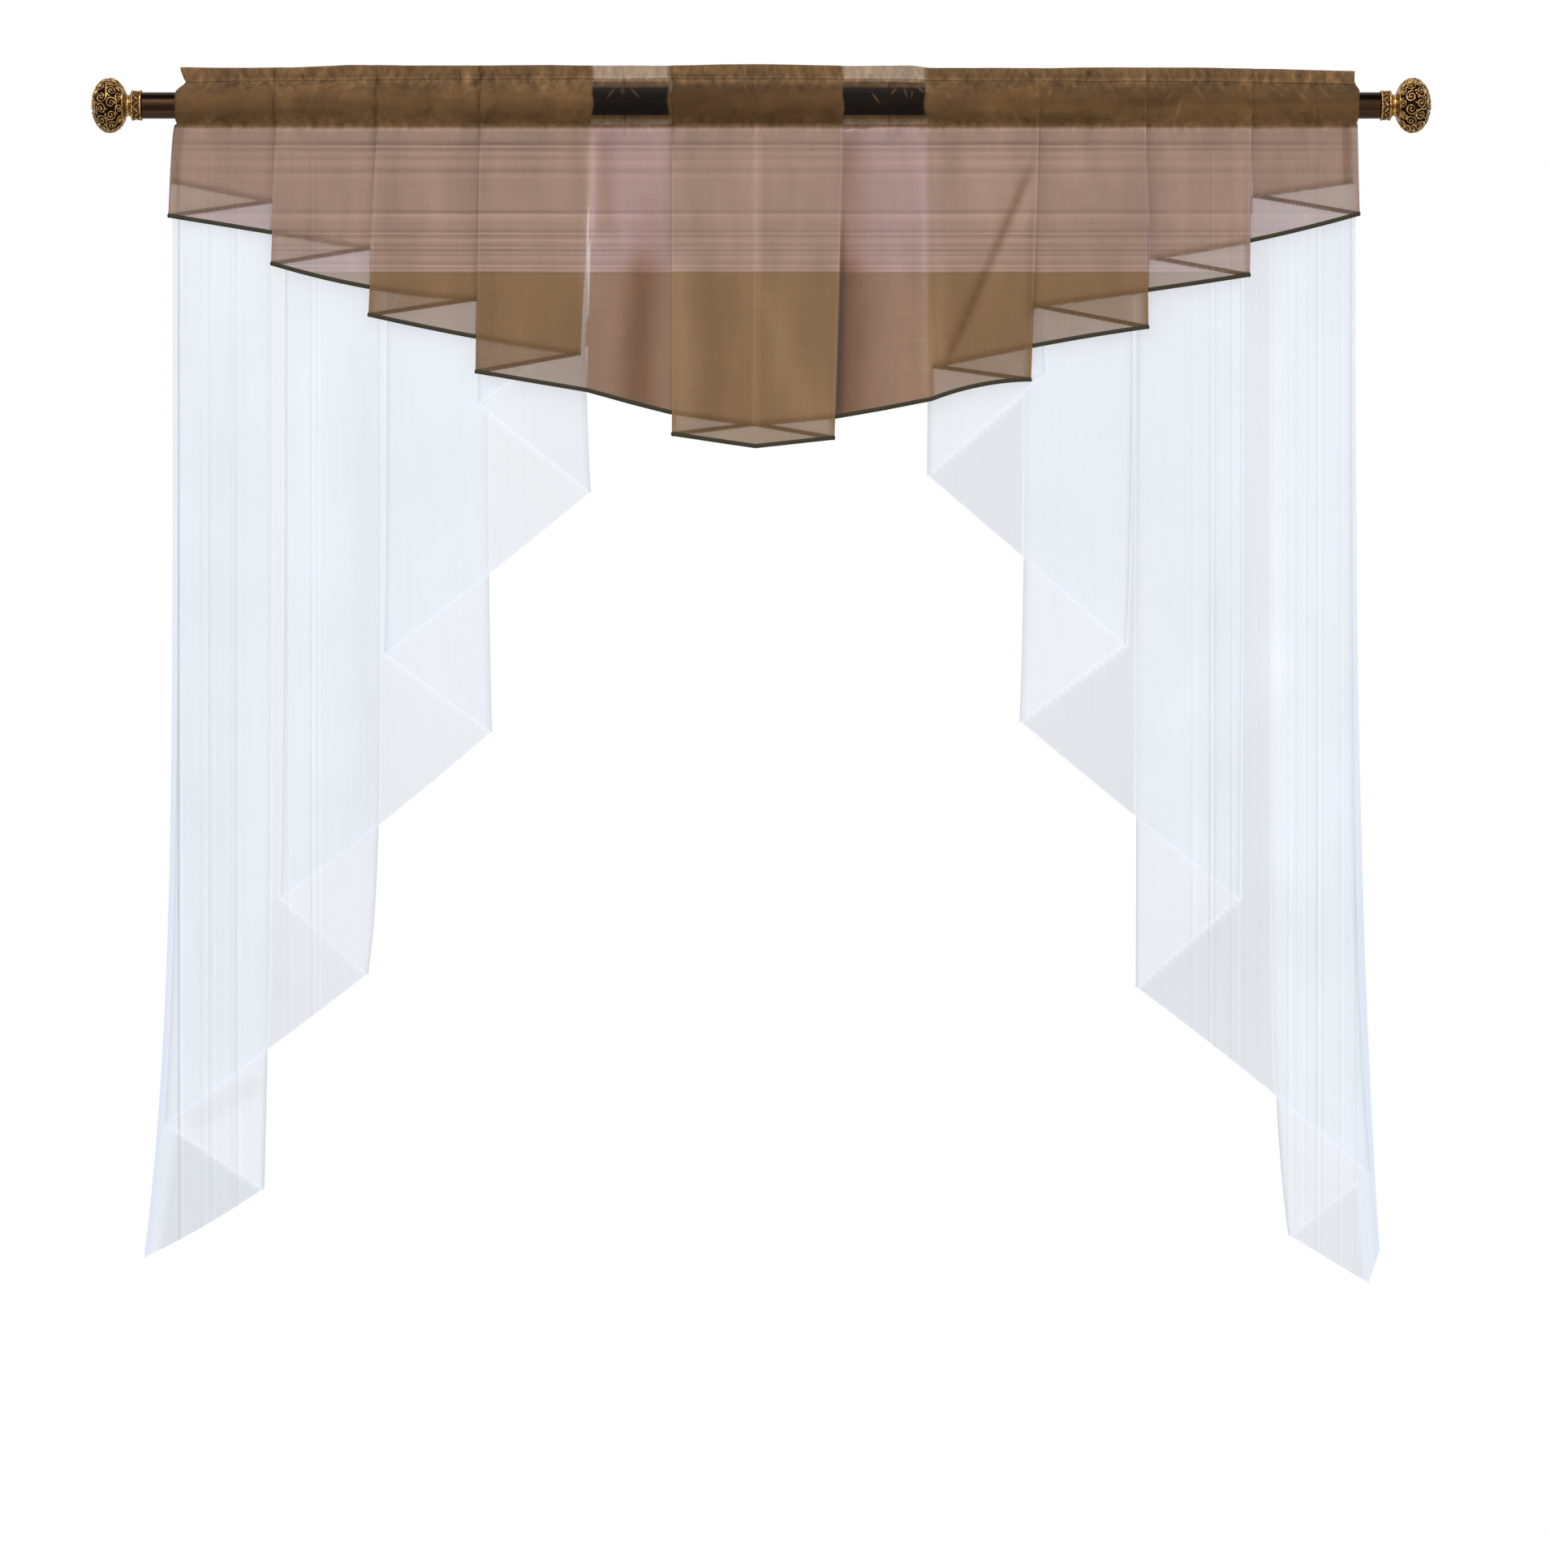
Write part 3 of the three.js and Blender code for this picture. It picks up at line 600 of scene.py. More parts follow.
RECESS_STAIN = Grain(260, 3)
FLOOR_GRAIN = Grain(3, 2)

# Noises that make a colour uneven, each with the share by which the colour turns lighter and darker
BROWN_UNEVEN = [
    (Grain(9, 4, (1, 1, 46)), 0.04),
    (Grain(9, 4, (46, 1, 1)), 0.02),
    # painted soft shade of faint vertical folds
    (Grain(13, 3, (1.7, 1, 0.4)), 0.12),
]
WHITE_UNEVEN = [(Grain(7, 4, (40, 1, 1)), 0.01), (Grain(6, 2), 0.02)]
OVERLOCK_UNEVEN = [(Grain(900, 2), 0.2)]
BROWN_THREAD_UNEVEN = [(THREAD_FUZZ, 0.25)]
WHITE_THREAD_UNEVEN = [(THREAD_FUZZ, 0.04)]

# Tones and roughnesses that a noise runs through
ROD_TONES = (1.3, 2.7)
ROD_ROUGHNESS = (0.36, 0.5)
GOLD_BLOTCH_RANGE = (0.38, 0.62)
GOLD_ROUGHNESS = (0.45, 0.26)
RECESS_TONES = (0.5, 1.8)
RECESS_ROUGHNESS = (0.5, 0.75)
FLOOR_TONES = (0.97, 1.0)

# Reliefs of the surfaces: strength of the bump and its height
Relief = namedtuple("Relief", "strength height")
GATHER_RELIEF = Relief(0.7, 0.8)
BROWN_RELIEF = Relief(0.25, 0.15)
WHITE_RELIEF = Relief(0.2, 0.15)
OVERLOCK_RELIEF = Relief(0.3, 0.2)
THREAD_RELIEF = Relief(0.3, 0.15)
ROD_RELIEF = Relief(0.05, 0.2)
GOLD_RELIEF = Relief(0.18, 0.3)
RECESS_RELIEF = Relief(0.3, 0.4)

# Weaves: pitch of the threads, how much more or less cloth there is on and between them, and their heights
BROWN_WEAVE = 0.45
BROWN_OPENNESS = 0.04
WHITE_WEAVE = 0.5
WHITE_OPENNESS = 0.05
WEAVE_RANGE = (0.0, 0.5)
# Scale at which a wave texture repeats once a metre
WAVE_SCALE = math.pi / 10


def mix(start, end, share):
    return start + (end - start) * share


def smooth(start, end, value):
    """0 before start and 1 after end, with an even slope between."""
    share = np.clip((value - start) / (end - start), 0, 1)
    return share * share * (3 - 2 * share)


def bell(value):
    """1 at zero, falling off softly on both sides."""
    return np.exp(-(value**2))


def unit(vectors):
    return vectors / np.maximum(np.linalg.norm(vectors, axis=-1, keepdims=True), TINY)


def read_table(table, place):
    """What a table of places and values gives at a place."""
    return np.interp(place, *zip(*table))


# Meshes


def circle(sides):
    """Angles of a ring's points."""
    return np.linspace(0, 2 * np.pi, sides, endpoint=False)


def grid_faces(rows, columns, close=False):
    """Quads of a grid of points given row by row. close joins the last column to the first."""
    row = np.arange(rows - 1)[:, None] * columns
    column = np.arange(columns if close else columns - 1)[None, :]
    ahead = (column + 1) % columns
    corners = (row + column, row + ahead, row + ahead + columns, row + column + columns)
    return np.stack(corners, axis=-1).reshape(-1, 4).tolist()


def sheet(points):
    """Rows of points as an open sheet."""
    return points.reshape(-1, 3), grid_faces(*points.shape[:2])


def closed_rings(points):
    """Rings of points as a tube with flat ends."""
    rings, sides = points.shape[:2]
    end = (rings - 1) * sides
    caps = [list(range(sides))[::-1], list(range(end, end + sides))]
    return points.reshape(-1, 3), grid_faces(rings, sides, close=True) + caps


def joined(shapes):
    """Several shapes, each its points and faces, as one."""
    points, faces, start = [], [], 0
    for shape_points, shape_faces in shapes:
        points.append(shape_points)
        faces += [[index + start for index in face] for face in shape_faces]
        start += len(shape_points)
    return np.concatenate(points), faces


def tube(path, up, wide, high, sides):
    """Tube of an oval section along an open path. up is the section's long way at each point."""
    ahead = unit(np.gradient(path, axis=0))
    across = unit(np.cross(ahead, up))
    upright = np.cross(across, ahead)
    angle = circle(sides)
    wide, high = (np.reshape(size, (-1, 1)) if np.ndim(size) < 2 else size for size in (wide, high))
    ring = across[:, None] * (wide * np.cos(angle))[..., None]
    ring = ring + upright[:, None] * (high * np.sin(angle))[..., None]
    return closed_rings(path[:, None] + ring)


def turned(outline, sides=ROUND_SIDES):
    """Turned piece along X from a half outline of radius and distance pairs."""
    radius, along = np.array(outline, float).T[..., None]
    angle = circle(sides)
    points = np.stack([along + 0 * angle, radius * np.cos(angle), radius * np.sin(angle)], axis=-1)
    return closed_rings(points)


def bead(centre, long, wide, high, sides=8, rings=6):
    """Rounded grain with its three half axes given as vectors."""
    angle = np.linspace(BEAD_POLE, np.pi - BEAD_POLE, rings)
    points, faces = turned(np.stack([np.sin(angle), -np.cos(angle)], axis=1), sides)
    return points @ np.array([long, wide, high]) + np.array(centre), faces


def link(name, data):
    """An object of the scene that holds some data."""
    made = bpy.data.objects.new(name, data)
    bpy.context.scene.collection.objects.link(made)
    return made


def make_piece(name, shape, material, replaces=(), shadow=True):
    """A smooth mesh object that rides on the curtain's one body."""
    points, faces = shape
    mesh = bpy.data.meshes.new(name)
    mesh.from_pydata((np.asarray(points) * MM).tolist(), [], faces)
    mesh.shade_smooth()
    mesh.materials.append(material)
    piece = link(name, mesh)
    piece.visible_shadow = shadow
    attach(piece, BODY)
    if replaces:
        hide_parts(*replaces)
    return piece


def set_values(piece, name, values):
    """A number for each point of a piece, which its material reads by name."""
    attribute = piece.data.attributes.new(name, "FLOAT", "POINT")
    attribute.data.foreach_set("value", np.asarray(values, np.float32).ravel())


def set_tint(piece, shade, hue):
    """A colour for each point that its material multiplies by, painted light and shade included: darker places
    are also warmer.
    """
    shade = np.clip(shade, *SHADE_LIMITS).ravel()
    colours = np.stack([shade ** power for power in (*TINT_POWERS, 0)], axis=1)
    colours[:, :3] *= hue.reshape(-1, 3)
    attribute = piece.data.attributes.new("tint", "FLOAT_COLOR", "POINT")
    attribute.data.foreach_set("color", colours.astype(np.float32).ravel())


# Shaders


class Nodes:
    """Helpers that add nodes to a tree and give their outputs."""

    def __init__(self, tree):
        self.tree = tree

    def feed(self, node, inputs):
        for name, value in inputs.items():
            socket = node.inputs[name]
            if isinstance(value, bpy.types.NodeSocket):
                self.tree.links.new(value, socket)
            elif hasattr(value, "__len__") and len(value) == 3 and len(socket.default_value) == 4:
                socket.default_value = (*value, 1)
            else:
                socket.default_value = value

    def add(self, kind, output, inputs=None, **settings):
        node = self.tree.nodes.new("ShaderNode" + kind)
        for name, value in settings.items():
            setattr(node, name, value)
        self.feed(node, inputs or {})
        return node.outputs[output]

    def math(self, operation, *numbers):
        return self.add("Math", 0, dict(enumerate(numbers)), operation=operation)

    def times(self, first, second):
        return self.math("MULTIPLY", first, second)

    def plus(self, first, second):
        return self.math("ADD", first, second)

    def spread(self, value, low, high, to_low=0.0, to_high=1.0):
        """value from low to high, brought to the range from to_low to to_high."""
        ends = {"Value": value, "From Min": low, "From Max": high, "To Min": to_low, "To Max": to_high}
        return self.add("MapRange", "Result", ends)


class Shader(Nodes):
    """A material with one Principled surface and the nodes behind it."""

    def __init__(self, name, **surface):
        self.material = bpy.data.materials.new(name)
        self.material.use_nodes = True
        super().__init__(self.material.node_tree)
        self.set(**surface)
        self.place = self.add("TexCoord", "Object")

    def set(self, **inputs):
        surface = self.tree.nodes["Principled BSDF"]
        self.feed(surface, {name.replace("_", " "): value for name, value in inputs.items()})

    def attribute(self, name, output="Fac"):
        return self.add("Attribute", output, attribute_name=name)

    def axis(self, letter):
        return self.add("SeparateXYZ", letter, {"Vector": self.place})

    def moved(self, place, kind="POINT", **change):
        return self.add("Mapping", "Vector", {"Vector": place, **change}, vector_type=kind)

    def noise(self, grain, turn=0.0):
        """Noise of a grain, turned about Y."""
        place = self.moved(self.place, Rotation=(0, turn, 0)) if turn else self.place
        inputs = {"Scale": grain.scale, "Detail": grain.detail, "Roughness": NOISE_ROUGHNESS}
        return self.add("TexNoise", "Fac", {"Vector": self.moved(place, Scale=grain.stretch), **inputs})

    def uneven(self, grain, low, high):
        """Noise of a grain, brought to the range from low to high."""
        return self.spread(self.noise(grain), *NOISE_RANGE, low, high)

    def mottled(self, noises):
        """Tone about 1 that noises make lighter and darker, each by its share."""
        return reduce(self.times, [self.uneven(grain, 1 - share, 1 + share) for grain, share in noises])

    def inwards(self, place):
        """0 at a distance of 1 from the origin of a place and 1 in its middle."""
        return self.add("TexGradient", "Fac", {"Vector": place}, gradient_type="SPHERICAL")

    def streak(self, line):
        """Soft mark along a line: 1 at its middle and 0 at its ends and sides."""
        run = (line.to_x - line.x, line.to_z - line.z)
        middle = ((line.x + line.to_x) / 2 * MM, 0, (line.z + line.to_z) / 2 * MM)
        size = (line.width * MM, 1, math.hypot(*run) / 2 * MM)
        turn = (0, math.atan2(*run), 0)
        return self.inwards(self.moved(self.place, "TEXTURE", Location=middle, Rotation=turn, Scale=size))

    def threads(self, direction, pitch):
        """Fine parallel threads along one axis, a pitch apart."""
        inputs = {"Vector": self.place, "Scale": WAVE_SCALE / (pitch * MM), "Distortion": 0.0}
        return self.add("TexWave", "Fac", inputs, bands_direction=direction)

    def weave(self, pitch):
        """Height of a plain weave: warp and weft threads crossing."""
        return self.times(self.threads("X", pitch), self.threads("Z", pitch))

    def ramp(self, value, stops):
        """Colour that runs through stops of place and colour."""
        output = self.add("ValToRGB", "Color", {"Fac": value})
        elements = output.node.color_ramp.elements
        while len(elements) < len(stops):
            elements.new(0.5)
        for element, (place, colour) in zip(elements, stops):
            element.position = place
            element.color = (*colour, 1)
        return output

    def along(self, letter, table):
        """What a table of places along an axis and values says there."""
        return self.over(self.axis(letter), table)

    def over(self, place, table):
        """Ramp over a place through a table of places and numbers or colours, lowest place first."""
        low, high = table[0][0], table[-1][0]
        shares = [(at - low) / (high - low) for at, _ in table]
        colours = [value if np.ndim(value) else grey(value) for _, value in table]
        return self.ramp(self.spread(place, low * MM, high * MM), list(zip(shares, colours)))

    def blend(self, first, second, share, how="MIX"):
        return self.add("Mix", 2, {0: share, 6: first, 7: second}, data_type="RGBA", blend_type=how)

    def tinted(self, colour, tint):
        return self.blend(colour, tint, 1.0, "MULTIPLY")

    def shown(self, tone, share):
        """A tone of which only a share shows."""
        return self.blend(grey(1.0), tone, share)

    def bump(self, pattern, relief, **under):
        """Normal of a pattern in relief, laid over the normal under it if one is given."""
        size = {"Strength": relief.strength, "Distance": relief.height * MM}
        return self.add("Bump", "Normal", {"Height": pattern, **size, **under})


def grey(value):
    return (value, value, value)


def slub_lines(shader, place, groups, grain, strength):
    """Tone of the slub threads across one axis, about 1 between them and uneven along each."""
    change = -PLAIN * len(groups)
    for group in groups:
        change = shader.plus(shader.over(place, [(at, PLAIN + value) for at, value in group]), change)
    return shader.plus(shader.times(change, shader.uneven(grain, *strength)), 1.0)


def fine_lines(lines, width):
    """Table of a ramp that holds each line as a narrow peak."""
    return [stop for at, value in lines for stop in ((at - width, 0), (at, value), (at + width, 0))]


def tail_lines(shader):
    """Tone of the slub threads that run down the tails."""
    groups = [fine_lines(lines, TAIL_SLUB_WIDTH) for lines in TAIL_SLUBS]
    return slub_lines(shader, shader.axis("X"), groups, PLUMB_GRAIN, TAIL_SLUB_STRENGTH)


def streaks(shader, lines):
    """Change of tone that the listed streaks give."""
    change = 0.0
    for line in lines:
        change = shader.math("MULTIPLY_ADD", shader.streak(line), line.tone, change)
    return change


def seam_lines(shader, height, seam):
    """Painted shade of a seam's groove and painted highlight beside it, which drift a little up and down along
    the rod.
    """
    drift = shader.uneven(SEAM_GRAIN, -SEAM_WANDER * MM, SEAM_WANDER * MM)
    return slub_lines(shader, shader.plus(height, drift), [seam], LEVEL_GRAIN, SEAM_STRENGTH)


def over_upper_seam(shader):
    """Height with the rise of the upper seam taken off."""
    rise = shader.along("X", [(x, PLAIN + rise / SEAM_SPAN) for x, rise in SEAM_RISE])
    drop = shader.spread(rise, 0, 1, SEAM_SPAN / 2 * MM, -SEAM_SPAN / 2 * MM)
    return shader.plus(shader.axis("Z"), drop)


def heading_marks(shader):
    """Painted light and shade of the heading's seams, gathers, clouds and streaks, and the height of the
    gathers and streaks.
    """
    lower = seam_lines(shader, shader.axis("Z"), LOWER_SEAM)
    upper = seam_lines(shader, over_upper_seam(shader), UPPER_SEAM)
    slanted = shader.plus(*(shader.noise(GATHER_GRAIN, lean) for lean in GATHER_LEANS))
    gathers = shader.spread(slanted, *GATHER_RANGE, -1, 1)
    gathers = shader.times(gathers, shader.along("Z", GATHER_STRENGTH))
    clouds = shader.uneven(CLOUD_GRAIN, -CLOUD_PAINTED_SHADE, CLOUD_PAINTED_SHADE)
    clouds = shader.times(clouds, shader.along("Z", CLOUD_STRENGTH))
    tone = shader.times(lower, upper)
    tone = shader.times(tone, shader.spread(gathers, -1, 1, 1 - GATHER_PAINTED_LIGHT, 1 + GATHER_PAINTED_LIGHT))
    tone = shader.times(tone, shader.plus(clouds, 1.0))
    drawn = streaks(shader, HEADING_STREAKS)
    return shader.times(tone, shader.plus(drawn, 1.0)), shader.plus(gathers, drawn)


def rod_and_shade_behind(shader):
    """How much the cloth in front of the rod is painted dark, for the rod seen through it and painted shade
    above it, less along thin puckers.
    """
    band = shader.times(shader.attribute("rod"), shader.along("Z", ROD_AND_SHADE_BAND))
    return shader.times(band, shader.math("SUBTRACT", 1.0, streaks(shader, FANS)))


def set_cover(shader, pitch, openness):
    """Cover of a voile: what its points say, a little less between the threads than on them."""
    weave = shader.spread(shader.weave(pitch), *WEAVE_RANGE, 1 - openness, 1 + openness)
    shader.set(Alpha=shader.times(shader.attribute("cover"), weave))


def brown_voile():
    shader = Shader("brown_voile", Roughness=0.85)
    tone = shader.along("Z", VOILE_TONES)
    slubs = slub_lines(shader, shader.axis("Z"), VALANCE_SLUBS, LEVEL_GRAIN, SLUB_STRENGTH)
    tone = shader.tinted(tone, shader.shown(slubs, shader.along("X", SLUB_FADE)))
    tone = shader.tinted(tone, shader.shown(tail_lines(shader), shader.along("Z", THROUGH_FADE)))
    # The points' tint, with the painted light and shade of creases, folds and puckers and the painted fold
    # shadows
    tone = shader.tinted(tone, shader.attribute("tint", "Color"))
    # Painted dark of the rod seen through the single cloth, and painted shade above the rod
    tone = shader.blend(tone, grey(ROD_SHADE), rod_and_shade_behind(shader), "MULTIPLY")
    marks, gathers = heading_marks(shader)
    shader.set(Base_Color=shader.tinted(tone, shader.times(shader.mottled(BROWN_UNEVEN), marks)))
    set_cover(shader, BROWN_WEAVE, BROWN_OPENNESS)
    shader.set(Sheen_Weight=0.05, Sheen_Roughness=0.5, Specular_IOR_Level=0.12)
    gathered = shader.bump(gathers, GATHER_RELIEF)
    shader.set(Normal=shader.bump(shader.weave(BROWN_WEAVE), BROWN_RELIEF, Normal=gathered))
    return shader.material


def white_voile():
    shader = Shader("white_voile", Roughness=0.8)
    tone = shader.blend(WHITE_DULL, WHITE_BRIGHT, shader.attribute("bright"))
    tone = shader.blend(tone, WHITE_EDGE, shader.attribute("edge"))
    tone = shader.tinted(tone, shader.shown(tail_lines(shader), shader.along("Z", TAIL_FADE)))
    # Painted shade of the creases and painted light by depth, from the points
    tone = shader.tinted(tone, shader.attribute("shade"))
    shader.set(Base_Color=shader.tinted(tone, shader.mottled(WHITE_UNEVEN)))
    set_cover(shader, WHITE_WEAVE, WHITE_OPENNESS)
    shader.set(Sheen_Weight=0.1, Sheen_Roughness=0.5, Specular_IOR_Level=0.2)
    shader.set(Normal=shader.bump(shader.weave(WHITE_WEAVE), WHITE_RELIEF))
    return shader.material


def overlock_thread():
    shader = Shader("overlock_thread", Roughness=0.75, Specular_IOR_Level=0.3)
    tone = shader.blend(OVERLOCK_DARK, OVERLOCK_LIGHT, shader.attribute("wrap"))
    shader.set(Base_Color=shader.tinted(tone, shader.mottled(OVERLOCK_UNEVEN)))
    shader.set(Normal=shader.bump(shader.noise(OVERLOCK_FIBRE), OVERLOCK_RELIEF))
    return shader.material


def plain_thread(name, colour, noises, cover=1.0):
    shader = Shader(name, Roughness=0.8, Specular_IOR_Level=0.3, Alpha=cover)
    shader.set(Base_Color=shader.tinted(colour, shader.mottled(noises)))
    shader.set(Normal=shader.bump(shader.noise(THREAD_FIBRE), THREAD_RELIEF))
    return shader.material


def rod_bronze():
    shader = Shader("rod_bronze", Metallic=1.0)
    streak = shader.noise(ROD_GRAIN)
    tone = shader.tinted(ROD_COLOUR, shader.spread(streak, *NOISE_RANGE, *ROD_TONES))
    # Painted reflections: bands round the rod that lighten and darken its colour by height
    tone = shader.tinted(tone, shader.along("Z", ROD_PAINTED_REFLECTIONS))
    shader.set(Base_Color=tone, Roughness=shader.spread(streak, *NOISE_RANGE, *ROD_ROUGHNESS))
    shader.set(Normal=shader.bump(streak, ROD_RELIEF))
    return shader.material


def antique_gold():
    shader = Shader("antique_gold", Metallic=1.0)
    blotch = shader.spread(shader.noise(GOLD_BLOTCH), *GOLD_BLOTCH_RANGE)
    tone = shader.blend(GOLD_WORN, GOLD_COLOUR, blotch)
    shader.set(Base_Color=tone, Roughness=shader.spread(blotch, 0, 1, *GOLD_ROUGHNESS))
    shader.set(Normal=shader.bump(shader.noise(GOLD_PITS), GOLD_RELIEF))
    return shader.material


def dark_recess(name, colour):
    shader = Shader(name, Specular_IOR_Level=0.02)
    stain = shader.noise(RECESS_STAIN)
    shader.set(Base_Color=shader.tinted(colour, shader.spread(stain, *NOISE_RANGE, *RECESS_TONES)))
    shader.set(Roughness=shader.spread(stain, *NOISE_RANGE, *RECESS_ROUGHNESS))
    shader.set(Normal=shader.bump(stain, RECESS_RELIEF))
    return shader.material


# Rod and its ends


def make_rod(material):
    """Tube with chamfered ends. A ring close to each chamfer keeps the long face's shading straight."""
    end = ROD_LENGTH / 2
    shoulder = end - ROD_CHAMFER
    right = [(ROD_RADIUS, shoulder - ROD_CHAMFER), (ROD_RADIUS, shoulder), (ROD_RADIUS - ROD_CHAMFER, end)]
    left = [(radius, -along) for radius, along in reversed(right)]
    make_piece("rod_tube", turned(left + right, ROD_SIDES), material, ["rod"])


def make_end_pieces(name, side, offset, pieces):
    """Pieces an offset beyond one end of the rod. The first replaces the CAD part of that name."""
    for k, (part, (points, faces), material) in enumerate(pieces):
        placed = (points + ALONG * (ROD_LENGTH / 2 + offset)) * np.array([side, side, 1])
        make_piece(f"{name}_{part}", (placed, faces), material, [] if k else [name])


def leaned(along, beside, lean):
    """Two directions turned together by an angle."""
    return along * math.cos(lean) + beside * math.sin(lean), beside * math.cos(lean) - along * math.sin(lean)


def rope_ring(along):
    """Twisted ring round the rod."""
    angle = np.linspace(0, 2 * np.pi, ROPE_POINTS * ROPE_TWISTS + 1)
    out = np.stack([0 * angle, np.cos(angle), np.sin(angle)], axis=1)
    radius = ROPE_RADIUS * (1 + ROPE_SWELL * np.cos(ROPE_TWISTS * angle[:, None] - circle(ROPE_SIDES)))
    return tube(out * CAP_RADIUS + ALONG * along, out, radius, radius, ROPE_SIDES)


def cap_leaves():
    """Slanted grains and round beads on the band between a cap's two ropes."""
    shapes = []
    for k in range(CAP_LEAVES):
        angle = 2 * np.pi * k / CAP_LEAVES
        out = np.array([0, math.cos(angle), math.sin(angle)])
        beside = np.array([0, -math.sin(angle), math.cos(angle)])
        long, wide = leaned(ALONG, beside, CAP_LEAF_LEAN if k % 2 else -CAP_LEAF_LEAN)
        centre = out * (CAP_RADIUS - CAP_LEAF_SUNK) + ALONG * CAP_LENGTH / 2
        shapes.append(bead(centre, *sized((long, wide, out), CAP_LEAF)))
        for step in (-CAP_BEAD_ALONG, CAP_BEAD_ALONG):
            place = out * (CAP_RADIUS - CAP_BEAD_SUNK) + ALONG * (CAP_LENGTH / 2 + step)
            shapes.append(bead(place + beside * CAP_BEAD_BESIDE, *sized((out, beside, ALONG), CAP_BEAD)))
    return shapes


def sized(directions, sizes):
    return [direction * size for direction, size in zip(directions, sizes)]


def make_end_cap(side, word, gold, dark):
    """Dark band with two twisted rings and grains laid on it."""
    face = CAP_RADIUS - BAND_SUNK
    bore = face - BAND_WALL
    band = turned([(bore, 0), (face, BAND_EDGE), (face, CAP_LENGTH - BAND_EDGE), (bore, CAP_LENGTH)])
    ornament = joined([rope_ring(ROPE_RADIUS), rope_ring(CAP_LENGTH - ROPE_RADIUS), *cap_leaves()])
    make_end_pieces(f"end_cap_{word}", side, FIT_GAP, [("band", band, dark), ("ornament", ornament, gold)])


def ball_outline(polar, depth=0):
    """Radius and distance along the rod a depth under the ball's face. polar starts at its outer end."""
    return (BALL_RADIUS - depth) * np.sin(polar), BALL_CENTRE + (BALL_LENGTH / 2 - depth) * np.cos(polar)


def on_ball(polar, around):
    """Place of a scroll's wire on the ball."""
    radius, along = ball_outline(polar, SCROLL_WIRE)
    return np.stack([along, radius * np.cos(around), radius * np.sin(around)], axis=-1)


def scroll(polar, around, size, hand, start):
    """Spiral wire on the ball, wound inwards to a bead."""
    share = np.linspace(0, 1, SCROLL_POINTS)
    reach = size * (1 - SCROLL_INWARDS * share)
    angle = start + hand * 2 * np.pi * SCROLL_TURNS * share
    half, radius = BALL_LENGTH / 2 - SCROLL_WIRE, BALL_RADIUS - SCROLL_WIRE
    down = reach * np.sin(angle) / math.hypot(half * math.sin(polar), radius * math.cos(polar))
    path = on_ball(polar + down, around + reach * np.cos(angle) / (radius * math.sin(polar)))
    out = unit(path - ALONG * BALL_CENTRE)
    wire = SCROLL_WIRE * mix(1.0, SCROLL_TAPER, share)
    return [tube(path, out, wire, wire, SCROLL_SIDES), bead(path[-1], *(np.eye(3) * SCROLL_BEAD))]


def leaf(polar, around, size, lean):
    """Small slanted grain on the ball."""
    place = on_ball(polar, around)
    down = unit(on_ball(polar + SMALL_TURN, around) - place)
    beside = unit(on_ball(polar, around + SMALL_TURN) - place)
    long, wide = leaned(down, beside, lean)
    return bead(place, long * size, wide * size * LEAF_WIDTH, np.cross(long, wide) * SCROLL_WIRE)


def staggered(rows, shift):
    """Places in rows round the ball, every second row half a step on."""
    for row, (degrees, count, size) in enumerate(rows):
        for k in range(count):
            around = 2 * np.pi * (k + ((row + shift) % 2) / 2) / count
            yield row, k, math.radians(degrees), around, size


def ball_scrolls():
    """Rows of spirals over the ball, turned alternately left and right, with leaves between the rows."""
    shapes = []
    for row, k, polar, around, size in staggered(SCROLL_ROWS, 0):
        shapes += scroll(polar, around, size, 1 if (k + row) % 2 else -1, SCROLL_TWIST * k + row)
    for _, k, polar, around, size in staggered(LEAF_ROWS, 1):
        shapes.append(leaf(polar, around, size, LEAF_LEAN if k % 2 else -LEAF_LEAN))
    return shapes


def make_finial(side, word, gold, hollow_shade):
    """Neck and smooth back of the ball, its dark core, painted as the shade in the hollow, and the pierced
    scrollwork over it.
    """
    shell = [ball_outline(polar) for polar in np.linspace(math.pi - BALL_START, SHELL_EDGE, SHELL_RINGS)]
    neck = turned([*NECK_OUTLINE, *shell, ball_outline(SHELL_EDGE, CORE_DEPTH)])
    tip = BALL_CENTRE + BALL_LENGTH / 2
    boss = turned([(radius, tip - depth) for radius, depth in BOSS_OUTLINE], BOSS_SIDES)
    core = [ball_outline(polar, CORE_DEPTH) for polar in np.linspace(CORE_BACK, CORE_FRONT, CORE_RINGS)]
    pieces = [
        ("body", joined([neck, boss]), gold),
        ("core", turned(core), hollow_shade),
        ("scrolls", joined(ball_scrolls()), gold),
    ]
    make_end_pieces(f"finial_{word}", side, CAP_LENGTH + 2 * FIT_GAP, pieces)


# Folded cloth


def turns_back(fold):
    return fold.before != fold.after


def span_shares(fold, following, cloth):
    """Places of the columns between two folds: close together where the cloth faces the front."""
    length = abs(following.hem - fold.hem)
    faces_front = min(fold.after, following.before) == 0 or not turns_back(fold)
    shares, share = [], 0.0
    while share <= 1 - LAST_STEP * cloth.fine / length:
        shares.append(share)
        in_front = faces_front and mix(fold.after, following.before, share) < FRONT_LAYERS
        share += (cloth.fine if in_front else cloth.coarse) / length
    return shares[1:]


